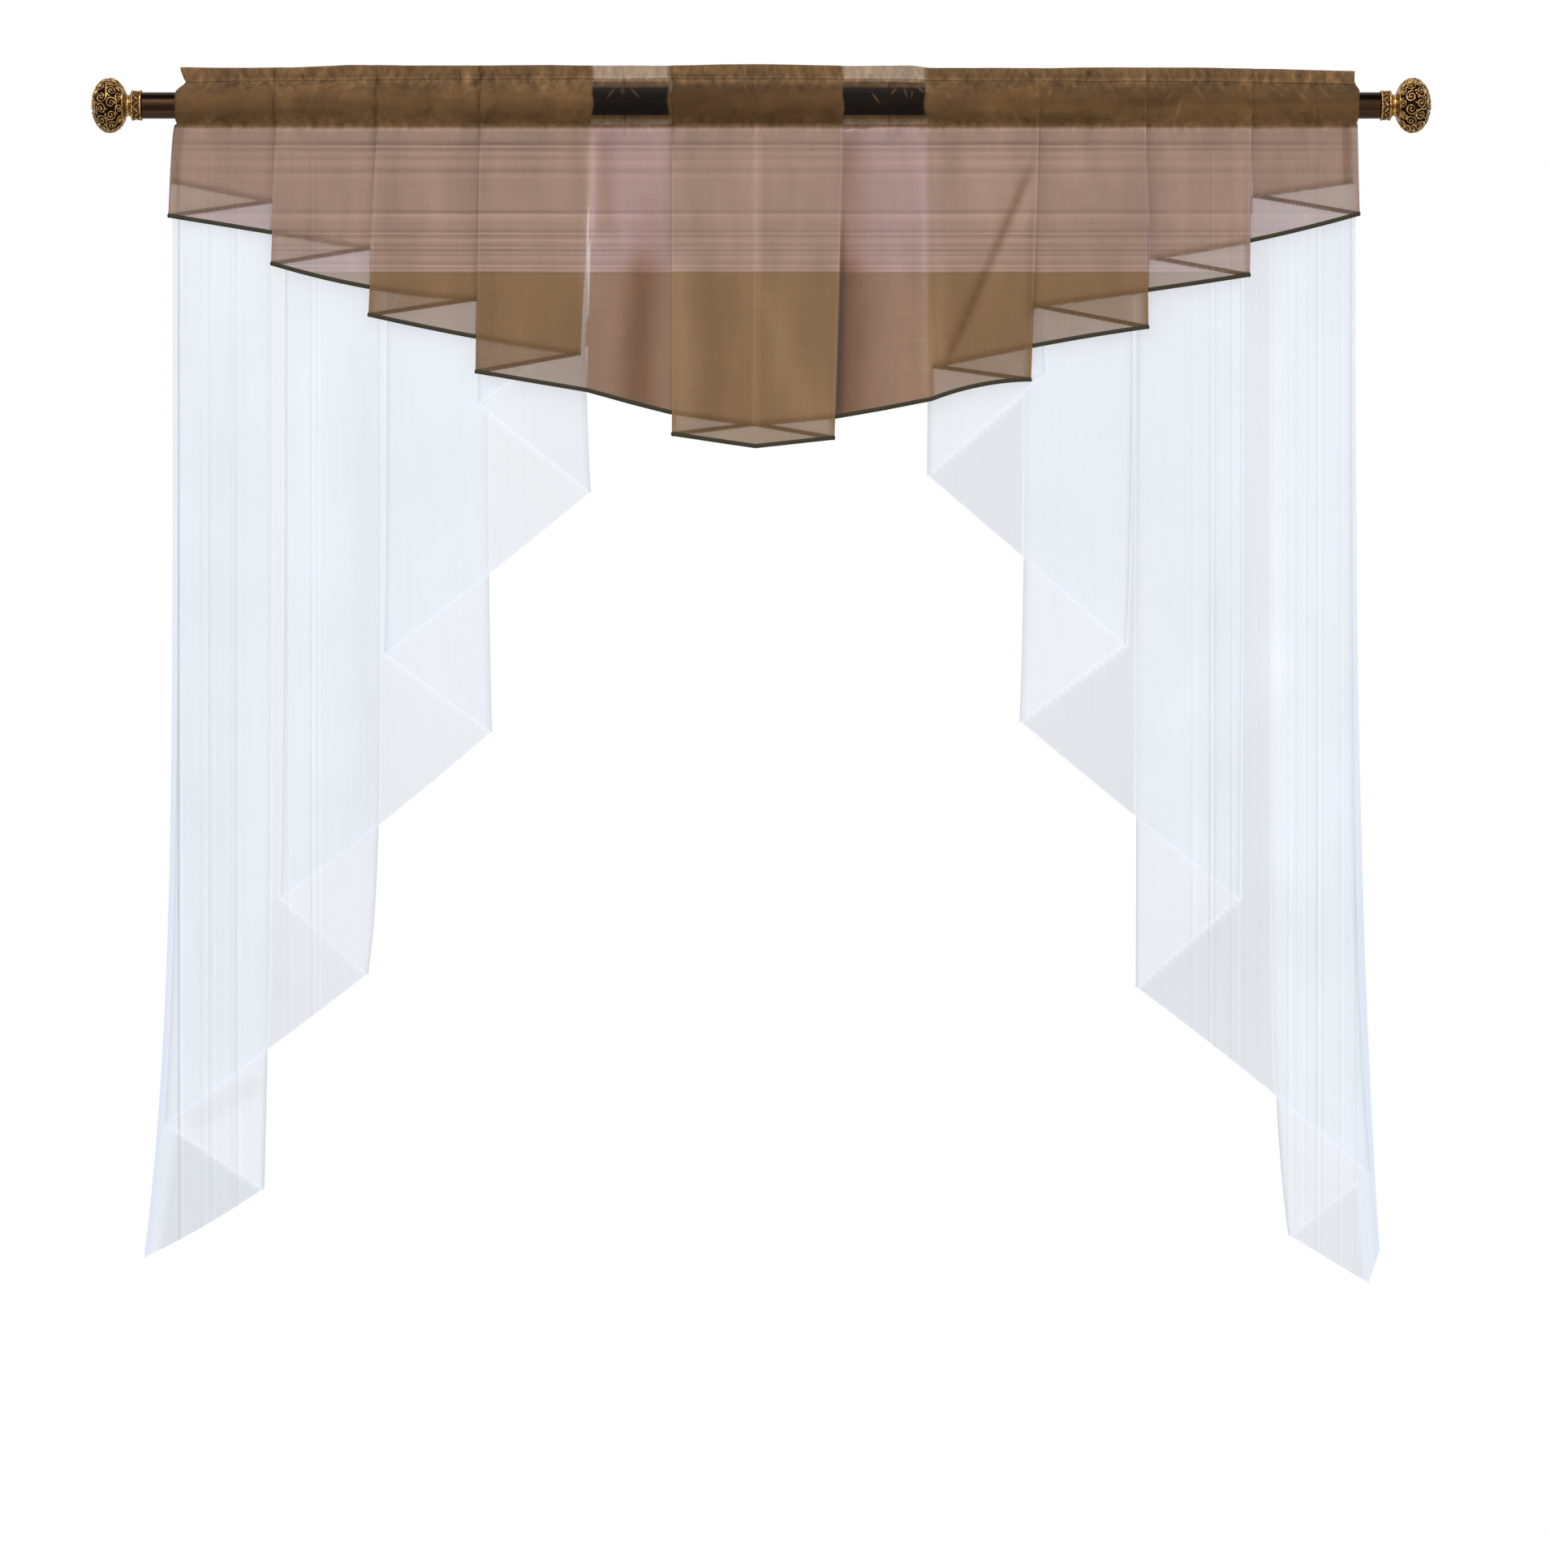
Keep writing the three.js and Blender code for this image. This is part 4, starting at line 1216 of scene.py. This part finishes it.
def columns_along(cloth):
    """Columns of a folded sheet: the folds on both sides, the share of the way and the angle on a fold."""
    columns = []
    for i, fold in enumerate(cloth.folds):
        turns = FOLD_STEPS if turns_back(fold) else 0
        columns += [(i, i, 0, math.pi * k / turns if turns else math.pi / 2) for k in range(turns + 1)]
        if i + 1 < len(cloth.folds):
            columns += [(i, i + 1, share, 0) for share in span_shares(fold, cloth.folds[i + 1], cloth)]
    return [np.array(values) for values in zip(*columns)]


def layer_pitch(drape, z):
    shut = 1 - np.minimum((drape.top - z) / drape.drop, 1)
    return mix(drape.pitch_hem, drape.pitch_top, shut**2)


def hem_levels(drop, rows):
    """Shares of the drop from the hem, 1, to the top, 0, close together near the hem."""
    zone = np.minimum(rows.zone / drop, HEM_ZONE_MOST)
    near = 1 - np.linspace(0, 1, rows.hem, endpoint=False)[:, None] * zone
    return np.concatenate([near, np.linspace(1, 0, rows.panel)[:, None] ** rows.crowding * (1 - zone)])


def hem_height(low, following_low, bow, share):
    """Height of a hem a share of the way from one fold to the next, with its sag."""
    return mix(low, following_low, share) - 4 * bow * share * (1 - share)


def hang(cloth):
    """Points of a folded sheet, row by row from the hem up, with each column's layer and fold."""
    drape = cloth.drape
    first, last, share, angle = columns_along(cloth)
    folds = [fold._replace(flare=fold.flare or drape.flare) for fold in cloth.folds]
    top, hem, low, before, after, flare, bow = np.array(folds, float).T
    turn = np.where(before != after, np.sign(np.diff(hem, prepend=hem[0])), 0)
    hem_z = hem_height(low[first], low[last], bow[first], share)
    level = hem_levels(drape.top - hem_z, cloth.rows)
    z = mix(drape.top, hem_z, level)
    pitch = layer_pitch(drape, z)

    def along(fold):
        return mix(top[fold], hem[fold], level ** flare[fold])

    def flat(fold):
        return along(fold) - turn[fold] * pitch / 2

    on_fold = first == last
    round_x = along(first) + turn[first] * pitch * (np.sin(angle) - 1) / 2
    x = np.where(on_fold, round_x, mix(flat(first), flat(last), share))
    middle, half = (before + after) / 2, (before - after) / 2
    round_layer = middle[first] + half[first] * np.cos(angle)
    layer = np.where(on_fold, round_layer, mix(after[first], before[last], share))
    y = drape.plumb_y + (layer - drape.plumb_layer) * pitch
    return np.stack([x, y, z], axis=-1), layer, np.where(on_fold & (turn[first] != 0), -1, first)


def sway(points, waves, top, drop):
    """How far soft waves carry each point of a hanging cloth towards the front."""
    x, z = points[..., 0], points[..., 2]
    grown = np.clip((top - z) / drop, 0, 1) ** WAVE_GROWTH
    swings = (wave.depth * (1 + np.sin(2 * np.pi * x / wave.length + wave.phase)) / 2 for wave in waves)
    return sum(swings) * grown


def crease_field(points, creases):
    """Depth and shade that the listed creases give each point."""
    # The shade is painted: painted shade along each crease and, below zero, painted highlight
    x, z = points[..., 0], points[..., 2]
    depth, shade = np.zeros_like(x), np.zeros_like(x)
    for crease in creases:
        run = np.array([crease.to_x - crease.x, crease.to_z - crease.z])
        length = np.linalg.norm(run)
        share = ((x - crease.x) * run[0] + (z - crease.z) * run[1]) / length**2
        away = ((x - crease.x) * run[1] - (z - crease.z) * run[0]) / length
        strength = bell(away / crease.width) * smooth(*CREASE_FADE, share) * smooth(*CREASE_FADE, 1 - share)
        depth += crease.depth * strength
        shade += crease.shade * strength
    return depth, shade


def fold_place(fold, drape, z):
    """Where a fold stands along the rod at a height."""
    level = np.clip((drape.top - z) / (drape.top - fold.low), 0, 1)
    return mix(fold.top, fold.hem, level ** (fold.flare or drape.flare))


def spans_at(points, cloth, blur=SPAN_JOIN):
    """For each stretch of cloth between two folds: how much of it covers a point, its hem and its layer."""
    x, z = points[..., 0], points[..., 2]
    for fold, following in zip(cloth.folds, cloth.folds[1:]):
        start, end = (fold_place(limit, cloth.drape, z) for limit in (fold, following))
        share = (x - start) / (end - start)
        first = -SPAN_SLACK if turns_back(fold) else -SPAN_JOIN
        last = 1 + SPAN_SLACK if turns_back(following) else 1 - SPAN_JOIN
        edge = blur / np.abs(end - start)
        within = smooth(first - edge, first + edge, share) * (1 - smooth(last - edge, last + edge, share))
        share = np.clip(share, 0, 1)
        hem = hem_height(fold.low, following.low, fold.bow, share)
        yield within, hem, mix(fold.after, following.before, share)


def layers_at(points, cloth, hem_blur=HEM_EDGE, fold_blur=SPAN_JOIN):
    """How many layers of a cloth lie at each point, fading out below hems and past folds."""
    spans = spans_at(points, cloth, fold_blur)
    return sum(within * smooth(hem - hem_blur, hem, points[..., 2]) for within, hem, _ in spans)


def layers_beside(points, cloth, reach, steps):
    """Counts of layers at steps of a reach to the left and right of each point."""
    return [layers_at(points + ALONG * reach * step, cloth) for step in range(-steps, steps + 1)]


def thinnest(points, cloth):
    """The fewest layers within a short reach to the left and right of each point."""
    return np.minimum.reduce(layers_beside(points, cloth, THIN_REACH, 1))


def closed_layers(points, cloth, width):
    """The count of layers with strips up to twice a width between two tiers filled in."""
    counts = layers_beside(points, cloth, width, 2)
    return np.minimum.reduce([np.maximum.reduce(counts[k:k + 3]) for k in range(3)])


def hidden_hems(points, layer, cloth):
    """1 along the hems that lie behind each point and 0 elsewhere."""
    line = np.zeros(points.shape[:2])
    for within, hem, span_layer in spans_at(points, cloth):
        away = (points[..., 2] - hem - OVERLOCK_HIGH / 2) / HIDDEN_HEM_WIDTH
        line = np.maximum(line, within * (span_layer > layer + 0.5) * bell(away))
    return line


# Heading of the valance


def seam_rise(x):
    return read_table(SEAM_RISE, x)


def pucker_rows():
    """Puckers along the rows of sewing: place, height of the row, width, reach, slant and rise of each."""
    random = np.random.default_rng(PUCKER_SEED)
    left, right = VALANCE_FOLDS[0].top, VALANCE_FOLDS[-1].top
    rows = []
    for kind in PUCKERS:
        x = left + random.uniform(*kind.spacing)
        while x < right:
            height = kind.row + (seam_rise(x) if kind.row == STITCH_TOP else 0)
            sizes = (kind.width, kind.reach, (-kind.slant, kind.slant), kind.rise)
            rows.append((x, height, *(random.uniform(*limits) for limits in sizes)))
            x += random.uniform(*kind.spacing)
    return rows


def pucker_field(points):
    """How far the puckers lift the cloth at each point."""
    x, z = points[..., 0], points[..., 2]
    lift = np.zeros_like(x)
    for place, height, width, reach, slant, rise in pucker_rows():
        away = (x - place - slant * (z - height)) / width
        lift += rise * bell(away) * np.exp(-np.abs(z - height) / reach)
    return lift


def header_wave(x, turn):
    """Sum of the header's waves along the rod."""
    return sum(wave.depth * turn(2 * np.pi * x / wave.length + wave.phase) for wave in HEADER_WAVES)


def heading_outline(start, layer):
    """Control points of the heading for each column, from the skirt over the header to the seam behind."""
    x, outer = start[:, 0], LAST_LAYER - layer
    lean = header_wave(x, np.sin)
    top = read_table(HEADER_TOP, x) + HEADER_RISE * header_wave(x, np.cos)
    radius = WRAP_RADIUS + HEADING_PITCH * outer
    half = HEADER_PITCH * outer

    def side_points(side):
        wrap = [(side * radius * np.cos(angle), radius * np.sin(angle)) for angle in np.radians(WRAP_ANGLES)]
        return wrap + [
            (side * (STITCH_HALF + half), STITCH_TOP + seam_rise(x)),
            (lean + side * (HEADER_HALF + half), HEADER_MIDDLE + 0 * x),
            (lean + side * (HEADER_HALF * SHOULDER_HALF + half), top - HEADER_SHOULDER),
        ]

    points = [(start[:, 1], start[:, 2]), *side_points(FRONT), (lean, top + TOP_PITCH * outer)]
    return np.array(points + side_points(BACK)[::-1] + [(SEAM_BACK + TOP_PITCH * outer, SEAM_END + 0 * x)])


def through(points, steps):
    """Smooth rows through control points: so many steps from each to the next."""
    padded = np.concatenate([points[:1], points, points[-1:]])
    rows = []
    for i, count in enumerate(steps):
        a, b, c, d = padded[i:i + 4]
        for t in np.arange(1, count + 1) / count:
            curve = (2 * a - 5 * b + 4 * c - d) * t**2 + (3 * b - a - 3 * c + d) * t**3
            rows.append(0.5 * (2 * b + (c - a) * t + curve))
    return np.array(rows)


def end_pull(x, z):
    """How far the sewing draws the heading's ends in towards the middle."""
    ends = (x - VALANCE_FOLDS[0].top, VALANCE_FOLDS[-1].top - x)
    near_left, near_right = (np.clip(1 - away / END_PULL_REACH, 0, 1) ** 2 for away in ends)
    left, right = (np.interp(z, END_PULL_HEIGHTS, pull) for pull in (END_PULL_LEFT, END_PULL_RIGHT))
    return near_left * left - near_right * right


def waver(x, z):
    """How far the sewing pushes the pleats' folds to the left and right in the heading."""
    turn = 2 * np.pi * z / WAVER_HEIGHT + x / WAVER_RUN
    return WAVER * np.sin(turn) * smooth(SEAM_END, SEAM_END + WAVER_FADE, z)


def heading_rows(start, layer):
    """Rows of the heading above the skirt's top row."""
    rows = through(heading_outline(start, layer), PROFILE_STEPS)
    y, z = rows[:, 0], rows[:, 1]
    x = np.broadcast_to(start[:, 0], y.shape)
    behind = np.arange(len(y))[:, None] >= sum(PROFILE_STEPS[:FRONT_POINTS])
    lift = pucker_field(np.stack([x, y, z], axis=-1)) * np.where(behind, BACK, FRONT)
    return np.stack([x + end_pull(x, z) + waver(x, z), y + lift, z], axis=-1)


# Valance


def past_fold(points, fold):
    """How far points lie to the right of one of the valance's folds."""
    return points[..., 0] - fold_place(VALANCE_FOLDS[fold], VALANCE_DRAPE, points[..., 2])


def between(values, low, high):
    return (values > low) & (values < high)


def between_sheers(points):
    """Which points lie from the left stretch of single cloth to the right one."""
    return between(points[..., 0], SHEER_LEFT, SHEER_RIGHT)


def sheer_columns(column_fold):
    """Which columns of the valance lie in its two stretches of single cloth."""
    return np.isin(column_fold, SHEER_SPANS)[None, :]


def in_box(points):
    """Which points lie on the box pleat in the middle."""
    return between(points[..., 0], VALANCE_FOLDS[BOX_LEFT].top, VALANCE_FOLDS[BOX_RIGHT].top)


def on_box_middle(points):
    """Which points lie along the middle of the box pleat, where its back folds meet."""
    near = np.abs(past_fold(points, BOX_MIDDLE)) < 2 * THIN_REACH
    return near & (points[..., 2] > VALANCE_FOLDS[BOX_BACK].low)


def in_gap(points):
    """Which points lie on the slit left of the single cloth, where the tail's edge shows."""
    return between(points[..., 0], *GAP_ACROSS) & between(points[..., 2], *GAP_HEIGHTS)


def fold_shadow(points, strength, reach):
    """Shadow that each fold at the front throws on the cloth beside it."""
    shadow = np.zeros(points.shape[:2])
    for k, fold in enumerate(VALANCE_FOLDS):
        if turns_back(fold) and min(fold.before, fold.after) <= 0:
            away = past_fold(points, k) * np.sign(fold.hem)
            thrown = np.where(away > FOLD_SHADOW_START, np.exp(-np.abs(away) / reach), 0)
            shadow = np.maximum(shadow, thrown)
    return strength * shadow


def side_hems(points):
    """1 on the narrow hems at the valance's two sides."""
    z = points[..., 2]
    from_left, from_right = past_fold(points, SIDE_LEFT), -past_fold(points, SIDE_RIGHT)
    inner = SIDE_HEM + SIDE_HEM_INSET
    left = 1 - smooth(SIDE_HEM - SIDE_HEM_BLUR, SIDE_HEM, from_left)
    right = smooth(SIDE_HEM_INSET, SIDE_HEM_INSET + SIDE_HEM_BLUR, from_right)
    right = right * (1 - smooth(inner, inner + SIDE_HEM_BLUR, from_right))
    band = np.maximum(SIDE_HEM_LEFT * left, right) * smooth(*SIDE_HEM_LOW, z)
    line = SIDE_LINE_LEFT * bell((from_left - SIDE_HEM) / SIDE_LINE) * smooth(*SIDE_LINE_LOW, z)
    return np.maximum(line, band)


def valance_cover(skirt, heading, sheer, count):
    """Share of light that the voile holds back at each point, by how many layers lie there."""
    single, double = (read_table(table, skirt[..., 0]) for table in (SINGLE_COVER, DOUBLE_COVER))
    few = mix(single, double, np.clip(count - 1, 0, 1))
    panel = mix(few, MANY_COVER, np.clip(count - 2, 0, 1))
    slit = closed_layers(skirt, VALANCE, SLIT_WIDTH) - count > 0.5
    panel = np.where(slit | on_box_middle(skirt), SLIT_COVER, panel)
    tip = in_box(skirt) & (skirt[..., 2] < VALANCE_FOLDS[BOX_BACK].low)
    panel = np.where((count < 2) & between_sheers(skirt), np.where(tip, BOX_TIP_COVER, SHEER_COVER), panel)
    panel = np.where((count < 2) & in_gap(skirt), GAP_COVER, panel)
    heights, _, covers = zip(*SHEER_HEADING)
    return np.concatenate([panel, np.where(sheer, np.interp(heading[..., 2], heights, covers), MANY_COVER)])


def fold_tones(column_fold, x):
    """Painted highlight or shade of each column on a fold, in the skirt and in the heading."""
    turn = mix(*FOLD_SHADE_HEADING, smooth(*FOLD_SHADE_TURN, x))
    return [np.where(column_fold < 0, tone, 1) for tone in (FOLD_SHADE_SKIRT, turn)]


def skirt_shade(skirt, layer, sheer, tones, crease_painted_shade):
    """Brightness of the skirt at each point: painted light and shade of creases, folds and puckers, painted
    fold shadows, and hems that show through.
    """
    z = skirt[..., 2]
    shade = 1 - crease_painted_shade - HIDDEN_HEM_SHADE * hidden_hems(skirt, layer, VALANCE)
    shade *= mix(*tones, smooth(*FOLD_SHADE_RISE, z))
    shade *= 1 - fold_shadow(skirt, *FOLD_SHADOW_SKIRT) - SIDE_HEM_SHADE * side_hems(skirt)
    shade *= np.where(sheer, mix(*SHEER_SHADES, smooth(TONE_EDGE - 1, TONE_EDGE + 1, z)), 1)
    return shade + PUCKER_SKIRT * PUCKER_PAINTED_LIGHT * pucker_field(skirt) * smooth(*PUCKER_FADE, z)


def heading_shade(heading, sheer, fold_tone):
    """Brightness of the heading at each point: painted light and shade of puckers and folds, painted fold
    shadows, and the single cloth over the rod.
    """
    x, z = heading[..., 0], heading[..., 2]
    shade = 1 + PUCKER_PAINTED_LIGHT * (pucker_field(heading) - PUCKER_LEVEL)
    shade *= 1 - fold_shadow(heading, *FOLD_SHADOW_HEADING)
    right_pocket = smooth(*RIGHT_POCKET_START, x) * smooth(*RIGHT_POCKET_LOW, z) * (z < STITCH_TOP)
    shade *= fold_tone * mix(1, RIGHT_POCKET_SHADE, right_pocket)
    heights, shades, _ = zip(*SHEER_HEADING)
    shade *= np.where(sheer, np.interp(z, heights, shades), 1)
    return shade * np.where(in_box(heading) & (z < STITCH_TOP), BOX_SHADE, 1)


def valance_hue(skirt, heading, sheer, count, crease_painted_shade):
    """Cast of the voile's colour at each point: cooler in single cloth, warmer in the painted shade of
    troughs.
    """
    corner = (count < 1.5) & ~between_sheers(skirt)
    single = np.where(skirt[..., 2:] > TONE_EDGE, SINGLE_HUE, SINGLE_HUE_LOW)
    panel = np.where(corner[..., None], single, 1.0)
    panel = np.where(sheer[..., None], SHEER_HUE, panel)
    warm = np.clip(crease_painted_shade, 0, None) * np.where(sheer, 1, PLEAT_WARMTH)
    panel = panel * (1 - warm[..., None] * CREASE_WARMTH)
    return np.concatenate([panel, np.ones(heading.shape)])


def make_valance(voile):
    """The valance as one sheet, its skirt and the heading folded over the rod. Also gives its points."""
    still, layer, column_fold = hang(VALANCE)
    sheer = sheer_columns(column_fold)
    drawn, sheer_drawn = (crease_field(still, creases) for creases in (VALANCE_CREASES, SHEER_CREASES))
    depth, crease_painted_shade = (np.where(sheer, b, a) for a, b in zip(drawn, sheer_drawn))
    skirt = still.copy()
    waves = sway(still, VALANCE_WAVES, VALANCE_DRAPE.top, VALANCE_DRAPE.drop)
    skirt[..., 1] -= waves + depth + PUCKER_SKIRT * pucker_field(still)
    heading = heading_rows(skirt[-1], layer)
    points = np.concatenate([skirt, heading])
    piece = make_piece("valance_cloth", sheet(points), voile, ["valance"], shadow=False)
    tones = fold_tones(column_fold, heading[0, :, 0])
    upper_shade = heading_shade(heading, sheer, tones[1])
    shade = np.concatenate([skirt_shade(still, layer, sheer, tones, crease_painted_shade), upper_shade])
    count = thinnest(still, VALANCE)
    set_tint(piece, shade, valance_hue(still, heading, sheer, count, crease_painted_shade))
    set_values(piece, "cover", valance_cover(still, heading, sheer, count))
    # Columns of single cloth that take the painted dark of the rod and the painted shade above it
    set_values(piece, "rod", np.broadcast_to(sheer, points.shape[:2]))
    return piece, points


# Sewing


def along_path(path, step):
    """A path resampled at even steps, with the distance of each point from its start."""
    lengths = np.concatenate([[0], np.cumsum(np.linalg.norm(np.diff(path, axis=0), axis=1))])
    places = np.linspace(0, lengths[-1], max(2, round(lengths[-1] / step)))
    return np.stack([np.interp(places, lengths, path[:, k]) for k in range(3)], axis=1), places


def edge_cord(middle, wide, high, sides, swell=1.0):
    """Cord of an upright oval section whose middle runs half its height above a hem."""
    up = np.broadcast_to(UP, middle.shape)
    return tube(middle + UP * high / 2, up, wide * swell, high * swell, sides)


def overlock(path):
    """Overlocked edge along a hem: a flat cord with slanting wraps of thread, and each point's wrap."""
    middle, places = along_path(path, OVERLOCK_STEP)
    wrap = 0.5 + 0.5 * np.sin(2 * np.pi * places[:, None] / OVERLOCK_PITCH + circle(OVERLOCK_SIDES))
    swell = 1 + OVERLOCK_RIDGE * (wrap - 0.5)
    return edge_cord(middle, OVERLOCK_WIDE, OVERLOCK_HIGH, OVERLOCK_SIDES, swell), wrap


def outermost(row, places, side):
    """Points on the outermost layer of a row of folded cloth at places along X, at the front or the back."""
    turns = np.sign(np.diff(row[:, 0]))
    breaks = np.flatnonzero(np.diff(turns)) + 1
    found = np.full((len(places), 2), np.nan)
    for run in np.split(np.arange(len(row)), breaks):
        part = row[run][np.argsort(row[run, 0])]
        if len(part) < 2:
            continue
        y = np.interp(places, part[:, 0], part[:, 1], left=np.nan, right=np.nan)
        z = np.interp(places, part[:, 0], part[:, 2])
        better = ~np.isnan(y) & (np.isnan(found[:, 0]) | (side * y > side * found[:, 0]))
        found[better] = np.stack([y, z], axis=1)[better]
    return np.column_stack([places, found])[~np.isnan(found[:, 0])]


def stitch_row(row, side):
    """Running stitches on the outermost layer along a row of the heading."""
    places = np.arange(row[:, 0].min() + STITCH_INSET, row[:, 0].max() - STITCH_INSET, STITCH_PITCH)
    axes = np.diag([STITCH_LENGTH, STITCH_THICK, STITCH_THICK]) / 2
    proud = np.array([0, side * STITCH_THICK / 4, 0])
    return [bead(centre + proud, *axes, *STITCH_ROUND) for centre in outermost(row, places, side)]


def seam_rows(points):
    """Rows that the sewing follows, each with its side: the upper seam and then the lower one."""
    heading = VALANCE.rows.hem + VALANCE.rows.panel
    front, back = (heading + sum(PROFILE_STEPS[:count]) - 1 for count in STITCH_POINTS)
    return [(points[front], FRONT), (points[back], BACK), (points[heading - 1], FRONT), (points[-1], BACK)]


def make_sewing(points, thread, stitches):
    """Overlocked hem and the two rows of stitching, front and back."""
    shape, wrap = overlock(points[0])
    hem = make_piece("valance_overlock", shape, thread, shadow=False)
    set_values(hem, "wrap", wrap)
    rows = [stitch for row, side in seam_rows(points) for stitch in stitch_row(row, side)]
    sewing = make_piece("valance_stitching", joined(rows), stitches)


# Tails


def gather_top(points, layer):
    """Draws the layers of a tail together where they are sewn to the pocket's seam."""
    loose = smooth(0, GATHERED_HEIGHT, TAIL_DRAPE.top - points[..., 2])
    sewn = SEAM_BACK + GATHERED_GAP + GATHERED_PITCH * layer
    points[..., 0] *= mix(GATHERED_WIDTH, 1, loose)
    points[..., 1] = mix(sewn, points[..., 1], loose)


def tail_hems(points):
    """1 on a tail's leading hem, 1 on its outer hem, and how much of the outer hem's cast shows."""
    steps = np.diff(points[:, :, :2], axis=1, prepend=points[:, :1, :2])
    run = np.cumsum(np.linalg.norm(steps, axis=2), axis=1)
    from_rim = run[:, -1:] - run
    leading = 1 - smooth(TAIL_LEADING_HEM - 1, TAIL_LEADING_HEM, run)
    outer = 1 - smooth(TAIL_OUTER_HEM - TAIL_RIM_BLUR, TAIL_OUTER_HEM, from_rim)
    rim = 1 - smooth(TAIL_RIM - TAIL_RIM_BLUR, TAIL_RIM, from_rim)
    cast = mix(TAIL_RIM_LEAST, 1, rim) * outer * smooth(*TAIL_RIM_DEPTHS, -points[..., 2])
    return leading, outer, cast


def make_tail(word, voile, thread):
    cloth = TAILS[word]
    points, layer, column_fold = hang(cloth)
    count = layers_at(points, cloth, HEM_BLUR, FOLD_BLUR)
    single = read_table(SINGLE_BRIGHT[word], -points[..., 2])
    bright = mix(single, 1, np.clip(count - 1, 0, 1)) - FOLD_DULL * (column_fold < 0)
    depth, crease_painted_shade = crease_field(points, TAIL_CREASES[word])
    # Painted shade of the creases, and painted light by depth against the lamps' falloff
    shade = (1 - crease_painted_shade) * read_table(TAIL_PAINTED_LIGHT, -points[..., 2])
    gather_top(points, layer)
    points[..., 1] += sway(points, TAIL_WAVES, TAIL_WAVES_TOP, TAIL_DRAPE.drop) - depth
    name = f"tail_{word}"
    piece = make_piece(f"{name}_cloth", sheet(points), voile, [name], shadow=False)
    leading, outer, cast = tail_hems(points)
    set_values(piece, "bright", np.maximum.reduce([bright, leading, outer]))
    set_values(piece, "edge", cast)
    set_values(piece, "shade", shade)
    hemmed = np.maximum(leading, OUTER_HEM_SHARE * outer)
    set_values(piece, "cover", mix(WHITE_COVER, WHITE_HEM_COVER, hemmed))
    middle, _ = along_path(points[0], TAIL_HEM_STEP)
    cord = edge_cord(middle, TAIL_HEM_WIDE, TAIL_HEM_HIGH, TAIL_HEM_SIDES)
    hem = make_piece(f"{name}_hem", cord, thread, shadow=False)


# Stage


def make_camera():
    camera = link("camera", bpy.data.cameras.new("camera"))
    camera.data.sensor_width = SENSOR
    camera.data.lens = SENSOR * VIEW_DISTANCE / (IMAGE_HEIGHT * PIXEL)
    camera.data.clip_end = VIEW_END * MM
    camera.location = (VIEW_X * MM, -VIEW_DISTANCE * MM, VIEW_Z * MM)
    camera.rotation_euler = (math.radians(90), 0, 0)
    bpy.context.scene.camera = camera


def make_light(light):
    data = bpy.data.lights.new(light.name, "AREA")
    data.size = light.size * MM
    data.energy = light.power
    lamp = link(light.name, data)
    lamp.location = np.array(light.place) * MM
    x, y, z = np.array(light.aim) - np.array(light.place)
    lamp.rotation_euler = (math.atan2(math.hypot(x, y), -z), 0, math.atan2(-x, y))


def make_world():
    """White surroundings whose light on the object is softer, and brighter from above than from below."""
    world = bpy.data.worlds.new("studio")
    world.use_nodes = True
    nodes = Nodes(world.node_tree)
    direction = nodes.add("TexCoord", "Generated")
    height = nodes.add("SeparateXYZ", "Z", {"Vector": direction})
    soft = nodes.spread(height, -1, 1, WORLD_BELOW, WORLD_ABOVE)
    seen = nodes.add("LightPath", "Is Camera Ray")
    strength = nodes.add("Mix", "Result", {"Factor": seen, "A": soft, "B": 1})
    nodes.feed(world.node_tree.nodes["Background"], {"Color": grey(1), "Strength": strength})
    bpy.context.scene.world = world


def make_floor():
    """Pale disc below the tails that fades out towards its rim."""
    shader = Shader("pale_floor", Roughness=0.6, Specular_IOR_Level=0.1)
    shader.set(Base_Color=shader.tinted(FLOOR_COLOUR, shader.uneven(FLOOR_GRAIN, *FLOOR_TONES)))
    inwards = shader.inwards(shader.moved(shader.place, Scale=[1 / (FLOOR_RADIUS * MM)] * 3))
    shader.set(Alpha=shader.spread(inwards, 0, FLOOR_FADE))
    angle = circle(ROUND_SIDES)
    rim = FLOOR_RADIUS * MM * np.stack([np.cos(angle), np.sin(angle), 0 * angle], axis=1)
    mesh = bpy.data.meshes.new("floor")
    mesh.from_pydata(rim.tolist(), [], [list(range(ROUND_SIDES))])
    mesh.materials.append(shader.material)
    floor = link("floor", mesh)
    floor.location = UP * FLOOR_Z * MM


def make_stage():
    """Pale floor, white surroundings and soft light from above and from the front."""
    scene = bpy.context.scene
    scene.view_settings.view_transform = "Standard"
    scene.cycles.transparent_max_bounces = MOST_LAYERS
    make_world()
    for light in LIGHTS:
        make_light(light)
    make_floor()


make_camera()
gold = antique_gold()
# Dark surface of the finials' cores: painted shade in the hollow of the pierced ball
hollow_shade = dark_recess("dark_recess", HOLLOW_SHADE_COLOUR)
band = dark_recess("dark_band", BAND_COLOUR)
brown = brown_voile()
white = white_voile()
make_rod(rod_bronze())
for side, word in ((-1, "left"), (1, "right")):
    make_end_cap(side, word, gold, band)
    make_finial(side, word, gold, hollow_shade)
valance, valance_points = make_valance(brown)
stitch_thread = plain_thread("brown_thread", THREAD_BROWN, BROWN_THREAD_UNEVEN)
make_sewing(valance_points, overlock_thread(), stitch_thread)
hem_thread = plain_thread("white_thread", THREAD_WHITE, WHITE_THREAD_UNEVEN, TAIL_HEM_COVER)
for word in TAILS:
    make_tail(word, white, hem_thread)
make_stage()
